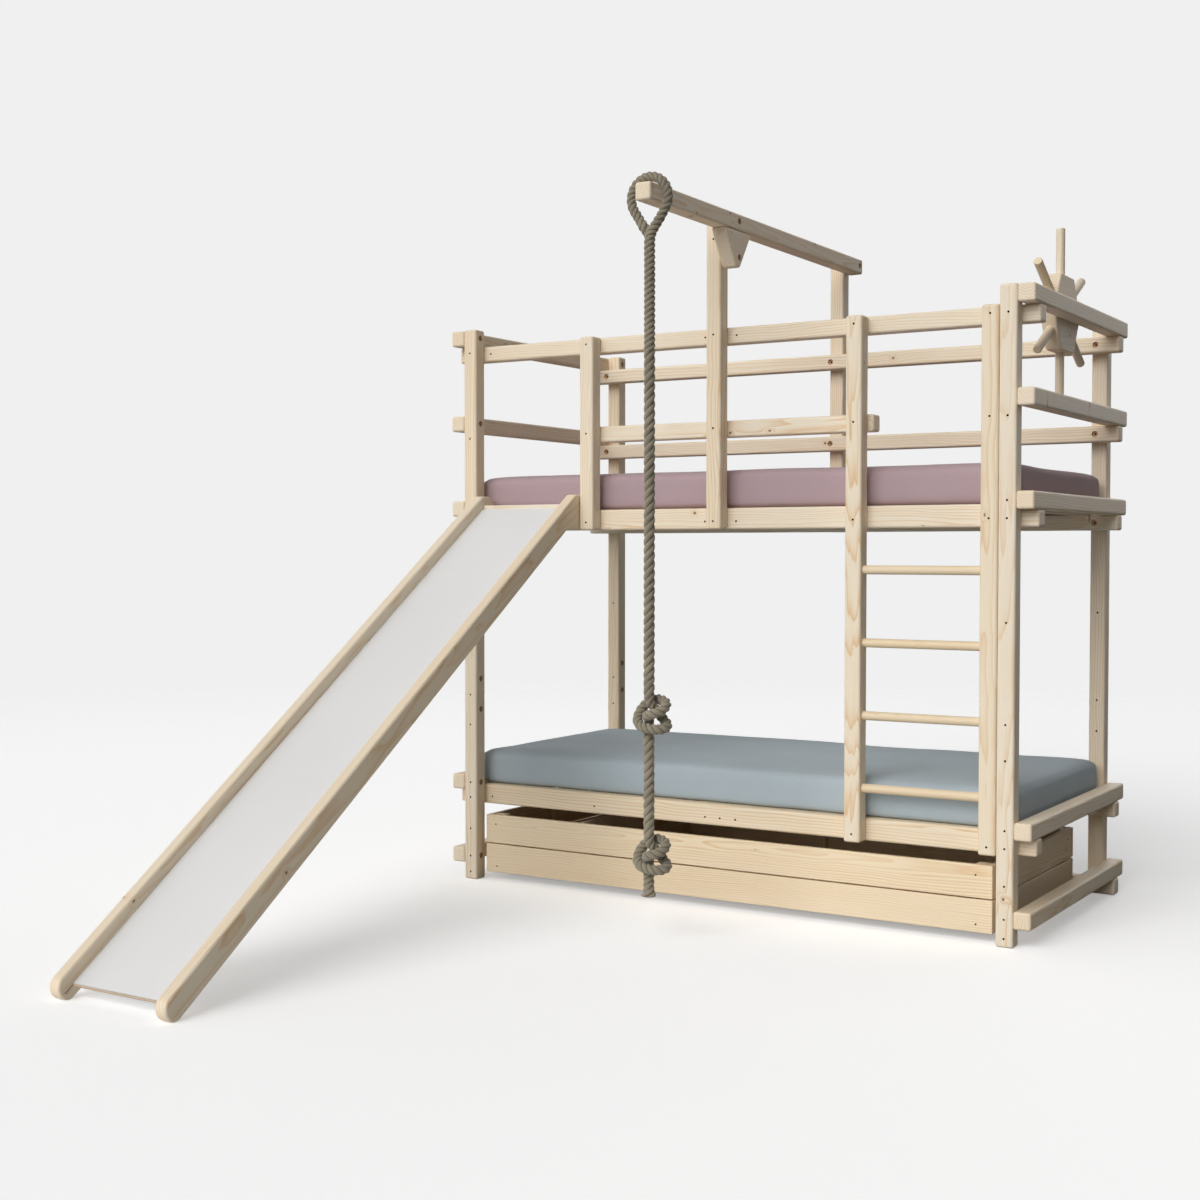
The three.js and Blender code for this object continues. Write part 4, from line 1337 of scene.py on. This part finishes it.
class BED_OT_steering_wheel(bpy.types.Operator):
    """Six-sided hub with dowel spokes, and the bolt that it turns on"""

    bl_idname = "bunk_bed.steering_wheel"
    bl_label = "Steering Wheel"

    def execute(self, context):
        low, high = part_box("steering_wheel")
        x = middle("steering_wheel", 0)
        y, z = middle("steering_axle", 1), middle("steering_axle", 2)
        apothem, spoke = 0.120, 0.014
        outline = [(y + a, z + b) for a, b in circle(apothem / math.cos(math.pi / 6), 6)]
        bm = bmesh.new()
        prism_into(bm, outline, low.x, high.x, 0, 0.006, rule=grain_of(low, high, 1, 501))
        for i, (up, across) in enumerate(circle(1, 6)):
            way = Vector((0, across, up))
            start, end = (Vector((x, y, z)) + way * reach for reach in (apothem - 0.01, high.z - z))
            turn = way.to_track_quat("Z", "Y").to_matrix().transposed()
            rod_into(bm, start, end, spoke, 32, 0.004, grain_of(start, end, 2, 510 + i, turn))
        place_piece(built("Steering_wheel_hub_and_spokes", bm), "spruce", WHEEL, ["steering_wheel"])
        bm = bmesh.new()
        for x0, x1, radius, sides, rounding in (
            (low.x - 0.0063, low.x - 0.0003, 0.012, 32, 0.002),
            (low.x - 0.001, corner("steering_axle", True).x, 0.005, 20, 0.0005),
            (high.x + 0.0003, high.x + 0.0027, 0.012, 32, 0.0005),
        ):
            rod_into(bm, (x0, y, z), (x1, y, z), radius, sides, rounding)
        place_piece(built("Steering_axle_bolt", bm), "steel", BED, ["steering_axle"])
        return {"FINISHED"}


# Bed box


class BED_OT_bed_box(bpy.types.Operator):
    """Bed box of paired boards, with corner blocks, cleats, a bottom and a divider"""

    bl_idname = "bunk_bed.bed_box"
    bl_label = "Bed Box"

    def execute(self, context):
        thick, board, seam, block, cleat = 0.018, 0.1005, 0.004, 0.045, 0.060
        block_drop, cleat_drop = 0.0015, 0.006
        panel_top = corner("box_divider").z
        for side in ("front", "back", "left", "right"):
            node = f"box_{side}"
            low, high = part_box(node)
            long_side = side in ("front", "back")
            across, run = (1, 0) if long_side else (0, 1)
            inward = 1 if side in ("front", "left") else -1
            outer = low[across] if inward > 0 else high[across]
            inner = outer + inward * thick
            bm = bmesh.new()
            seeds = iter(range(seed_of(node), seed_of(node) + 9))

            def add(run0, run1, face0, face1, z0, z1, rounding, axis):
                a, b = [0.0] * 3, [0.0] * 3
                a[run], b[run] = run0, run1
                a[across], b[across] = sorted((face0, face1))
                a[2], b[2] = z0, z1
                block_into(bm, a, b, rounding, 3, grain_of(a, b, axis, next(seeds)))

            for z in (low.z, low.z + board + seam):
                add(low[run], high[run], outer, inner, z, z + board, 0.003, run)
            mid = middle(node, run)
            face = inner + inward * thick
            add(mid - cleat / 2, mid + cleat / 2, inner, face, panel_top, high.z - cleat_drop, 0.002, 2)
            if long_side:
                face, top = inner + inward * block, high.z - block_drop
                for x0 in (low.x + thick, high.x - thick - block):
                    add(x0, x0 + block, inner, face, panel_top, top, 0.003, 2)
            made = built(pretty(node) + "_boards", bm)
            # Painted shade on the faces that look into the box and on those that face down
            paint_box_shade(made.data, lambda normal: normal[across] * inward > 0.5 or normal[2] < -0.5)
            place_piece(made, "box_spruce", BOX, [node])
        for node, axis, inside in (
            ("box_bottom", 0, lambda normal: normal[2] > 0.5),
            ("box_divider", 1, lambda normal: abs(normal[0]) > 0.5),
        ):
            made = timber(node, axis=axis, rounding=0.001, finish="box_spruce", body=BOX)
            # Painted shade on the bottom's upper face and on the divider's sides
            paint_box_shade(made.data, inside)
        return {"FINISHED"}


# Half of the castor wheel's section: radius and place along its pin
WHEEL_PROFILE = [
    (0.0034, 0.0078), (0.0075, 0.008), (0.0085, 0.0055), (0.0150, 0.0055), (0.0160, 0.008), (0.0185, 0.0078),
    (0.0197, 0.0062), (0.0200, 0.0030),
]


class BED_OT_castors(bpy.types.Operator):
    """Castors: a bent fork with its pin, and a moulded wheel"""

    bl_idname = "bunk_bed.castors"
    bl_label = "Castors"

    def execute(self, context):
        plate, leg, leg_in, leg_out, screw, off, steps = 0.004, 0.009, 0.010, 0.013, 0.0032, 0.016, 48
        profile = [(radius, -along) for radius, along in WHEEL_PROFILE] + WHEEL_PROFILE[::-1]
        for place in ("front_left", "front_right", "back_left", "back_right"):
            node, wheel = f"castor_fork_{place}", f"castor_wheel_{place}"
            low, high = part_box(node)
            x, y, z = (middle(wheel, axis) for axis in range(3))
            under = high.z - plate
            bm = bmesh.new()
            block_into(bm, (low.x, low.y, under), high, 0.0015, 2)
            foot = [polar(leg, -math.pi * i / 12) for i in range(13)]
            outline = [(y + a, under + 0.001) for a in (-leg, leg)] + [(y + a, z + b) for a, b in foot]
            for x0, x1 in ((x - leg_out, x - leg_in), (x + leg_in, x + leg_out)):
                prism_into(bm, outline, x0, x1, 0, 0.0006, 2)
            rod_into(bm, (x - leg_out, y, z), (x + leg_out, y, z), 0.003, 20, 0.0006)
            for dx in (-off, off):
                for dy in (-off, off):
                    ends = [(x + dx, y + dy, under - 0.0012), (x + dx, y + dy, under + 0.001)]
                    rod_into(bm, *ends, screw, 16, 0.0008)
            place_piece(built(f"Castor_fork_{place}_steel", bm), "steel", BOX, [node])
            bm = bmesh.new()
            rings = []
            for back, up in circle(1, steps):
                section = [(x + along, y + radius * back, z + radius * up) for radius, along in profile]
                rings.append([bm.verts.new(place) for place in section])
            skin(bm, [*rings, rings[0]], ends=False)
            bmesh.ops.recalc_face_normals(bm, faces=bm.faces[:])
            made = built(f"Castor_wheel_{place}_moulded", bm)
            place_piece(made, "castor_plastic", f"castor_{place}", [wheel])
        return {"FINISHED"}


# Screws


def head_mesh(radius, height, socket, sides=24):
    """A domed head that stands on z = 0, with a six-sided socket."""
    bm = bmesh.new()
    rings = []
    for share, z in ((1.0, 0.0), (1.0, 0.45), (0.9, 0.8), (0.7, 1.0)):
        rings.append([bm.verts.new((*pair, height * z)) for pair in circle(radius * share, sides)])
    for z in (height, height * 0.35):
        angles = [2 * math.pi * k / sides for k in range(sides)]
        flats = [polar(socket / math.cos(angle % (math.pi / 3) - math.pi / 6), angle) for angle in angles]
        rings.append([bm.verts.new((*pair, z)) for pair in flats])
    skin(bm, rings)
    return bm


def heads_tree():
    """Copies of a head on points, each turned to face the point's way."""
    inputs = [
        ("Geometry", GEOMETRY, None), ("Head", "NodeSocketObject", None), ("Size", FLOAT, 1.0),
        ("Finish", "NodeSocketMaterial", None),
    ]
    group, given, out = new_group("Heads on points", "GeometryNodeTree", inputs, [("Geometry", GEOMETRY)])
    props = {"data_type": "FLOAT_VECTOR"}
    way = put(group, "GeometryNodeInputNamedAttribute", {"Name": "way"}, **props).outputs[0]
    turn = put(group, "FunctionNodeAlignRotationToVector", {"Vector": way}, axis="Z").outputs[0]
    head = put(group, "GeometryNodeObjectInfo", {"Object": given["Head"]}).outputs["Geometry"]
    ins = {"Rotation": turn, "Scale": given["Size"]}
    return copies_on(group, out, given["Geometry"], head, given["Finish"], **ins)


class BED_OT_fastenings(bpy.types.Operator):
    """Countersunk screws of the bed box"""

    bl_idname = "bunk_bed.fastenings"
    bl_label = "Box Screws"

    def execute(self, context):
        sunk, back_inset, side_inset = 0.0006, 0.045, 0.040
        low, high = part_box("box_front")
        columns = (low.x + 0.042, low.x + 0.047, high.x - 0.052, high.x - 0.051)
        rows = (low.z + 0.172, low.z + 0.022, low.z + 0.174, low.z + 0.025)
        places = [((x, low.y + sunk, z), (0, -1, 0)) for x, z in zip(columns, rows)]
        low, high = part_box("box_back")
        for x in (low.x + back_inset, high.x - back_inset):
            places += [((x, high.y - sunk, z), (0, 1, 0)) for z in rows[:2]]
        for side, way in zip(SIDES, (-1, 1)):
            low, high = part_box(f"box_{side}")
            x = (low if way < 0 else high).x - way * sunk
            for y in (low.y + side_inset, high.y - side_inset):
                places += [((x, y, z), (way, 0, 0)) for z in rows[:2]]
        mesh = bpy.data.meshes.new("Box_screws")
        mesh.from_pydata([place for place, _ in places], [], [])
        layer = layer_of(mesh, "way", "FLOAT_VECTOR", "POINT")
        for item, (_, way) in zip(layer.data, places):
            item.vector = way
        head = built("Screw_head", head_mesh(0.0085, 0.005, 0.0032))
        made = link_object("Box_screws", mesh)
        run_tree(made, heads_tree(), Head=head, Size=0.35, Finish=finish_of("browned_screw"))
        place_piece(made, "browned_screw", BOX)
        bpy.data.objects.remove(head)
        return {"FINISHED"}


# Stage

# Lamps: name, degrees round from the front to the left, degrees up, share of the light, breadth in degrees
LAMPS = (
    ("Front lamp", 2, 30, 0.74, 48),
    ("Front left lamp", 45, 30, 0.17, 50),
    ("Left lamp", 90, 12, 0.15, 60),
    ("Rear lamp", 180, 12, 0.33, 60),
)
FLOOR_SIZE = 60.0
# The brighter stretch of floor before the slide: its middle, its two radii and the share left beyond it
BRIGHT_FLOOR = (-0.3, -1.5, 0.0)
BRIGHT_REACH = (1.2, 3.2)
DIM_SHARE = 0.18
# Distances from the bed over which the floor fades into the backdrop
FLOOR_FADE = (4.5, 11.0)


def pale_floor():
    """A floor that keeps some brightness in the shadows and fades into the backdrop."""
    chosen = settings()
    made, shader = blank("Pale floor", 0.9, Specular_IOR_Level=0.0, Emission_Color=(1, 1, 1, 1))
    sight = put(shader.id_data, "ShaderNodeLightPath").outputs["Is Camera Ray"]
    place = object_place(shader)
    lit = vec("DISTANCE", place, BRIGHT_FLOOR)
    bounce = remap(lit, *BRIGHT_REACH, chosen.floor_bounce, chosen.floor_bounce * DIM_SHARE)
    dress(shader, blend(sight, bounce, opaque([chosen.floor_pale] * 3)))
    gone = times(remap(vec("LENGTH", place), *FLOOR_FADE), sight)
    lift = times(sight, chosen.floor_lift)
    feed(shader, {"Emission Strength": lift, "Alpha": calc("SUBTRACT", 1.0, gone)})
    return made


def soft_sky():
    """Even light from all sides, with a plain backdrop where it is looked at."""
    world = bpy.data.worlds.new("Soft sky")
    world.use_nodes = True
    tree = world.node_tree
    tree.nodes.clear()
    rays = put(tree, "ShaderNodeLightPath").outputs
    seen = calc("MAXIMUM", rays["Is Camera Ray"], rays["Is Glossy Ray"])
    seen = calc("MAXIMUM", seen, rays["Is Transmission Ray"])
    sky = put(tree, "ShaderNodeBackground", {0: (1, 1, 1, 1), 1: settings().sky_light}).outputs[0]
    back = put(tree, "ShaderNodeBackground", {0: opaque([settings().backdrop] * 3), 1: 1.0}).outputs[0]
    both = put(tree, "ShaderNodeMixShader", {0: seen, 1: sky, 2: back}).outputs[0]
    put(tree, "ShaderNodeOutputWorld", {0: both})
    return world


class BED_OT_stage(bpy.types.Operator):
    """Camera, pale floor, soft sky and four broad lamps"""

    bl_idname = "bunk_bed.stage"
    bl_label = "Stage"

    def execute(self, context):
        scene = context.scene
        scene.view_settings.view_transform = "Standard"
        data = bpy.data.cameras.new("Camera")
        data.lens = 49.82
        data.sensor_width = 36.0
        data.clip_end = 200.0
        camera = link_object("Camera", data)
        camera.location = (2.5478, -4.33924, 1.17155)
        camera.rotation_euler = (math.pi / 2 - 0.02925, -0.00054, 0.55842)
        scene.camera = camera
        mesh = bpy.data.meshes.new("Floor")
        corners = [(x * FLOOR_SIZE, y * FLOOR_SIZE, 0) for x, y in ((-1, -1), (1, -1), (1, 1), (-1, 1))]
        mesh.from_pydata(corners, [], [(0, 1, 2, 3)])
        mesh.materials.append(pale_floor())
        link_object("Floor", mesh)
        scene.world = soft_sky()
        for name, around, height, strength, breadth in LAMPS:
            lamp = bpy.data.lights.new(name, "SUN")
            lamp.energy = math.pi * settings().lamp_level * strength
            lamp.angle = math.radians(breadth)
            level, down = polar(1, math.radians(height))
            back, side = polar(level, math.radians(around))
            way = Vector((side, back, -down))
            link_object(name, lamp).rotation_euler = way.to_track_quat("-Z", "Y").to_euler()
        return {"FINISHED"}


OPERATORS = (
    BED_OT_stage, BED_OT_rope, BED_OT_posts, BED_OT_rails, BED_OT_ladder, BED_OT_crane,
    BED_OT_slatted_bases, BED_OT_mattresses, BED_OT_slide, BED_OT_steering_wheel, BED_OT_bed_box,
    BED_OT_castors, BED_OT_fastenings,
)


class BED_PT_panel(bpy.types.Panel):
    """Sidebar panel with the bed's settings and its pieces"""

    bl_idname = "BED_PT_panel"
    bl_label = "Bunk Bed"
    bl_space_type = "VIEW_3D"
    bl_region_type = "UI"
    bl_category = "Bunk Bed"

    def draw(self, context):
        for name in settings().bl_rna.properties.keys():
            if name not in {"rna_type", "name"}:
                self.layout.prop(settings(), name)
        for operator in OPERATORS:
            self.layout.operator(operator.bl_idname)


CLASSES = (BunkBedSettings, *OPERATORS, BED_PT_panel)


def register():
    for cls in CLASSES:
        bpy.utils.register_class(cls)
    bpy.types.Scene.bunk_bed = bpy.props.PointerProperty(type=BunkBedSettings)


def unregister():
    del bpy.types.Scene.bunk_bed
    for cls in reversed(CLASSES):
        bpy.utils.unregister_class(cls)


def main():
    register()
    for operator in OPERATORS:
        getattr(bpy.ops.bunk_bed, operator.bl_idname.split(".")[1])()


if __name__ == "__main__":
    main()
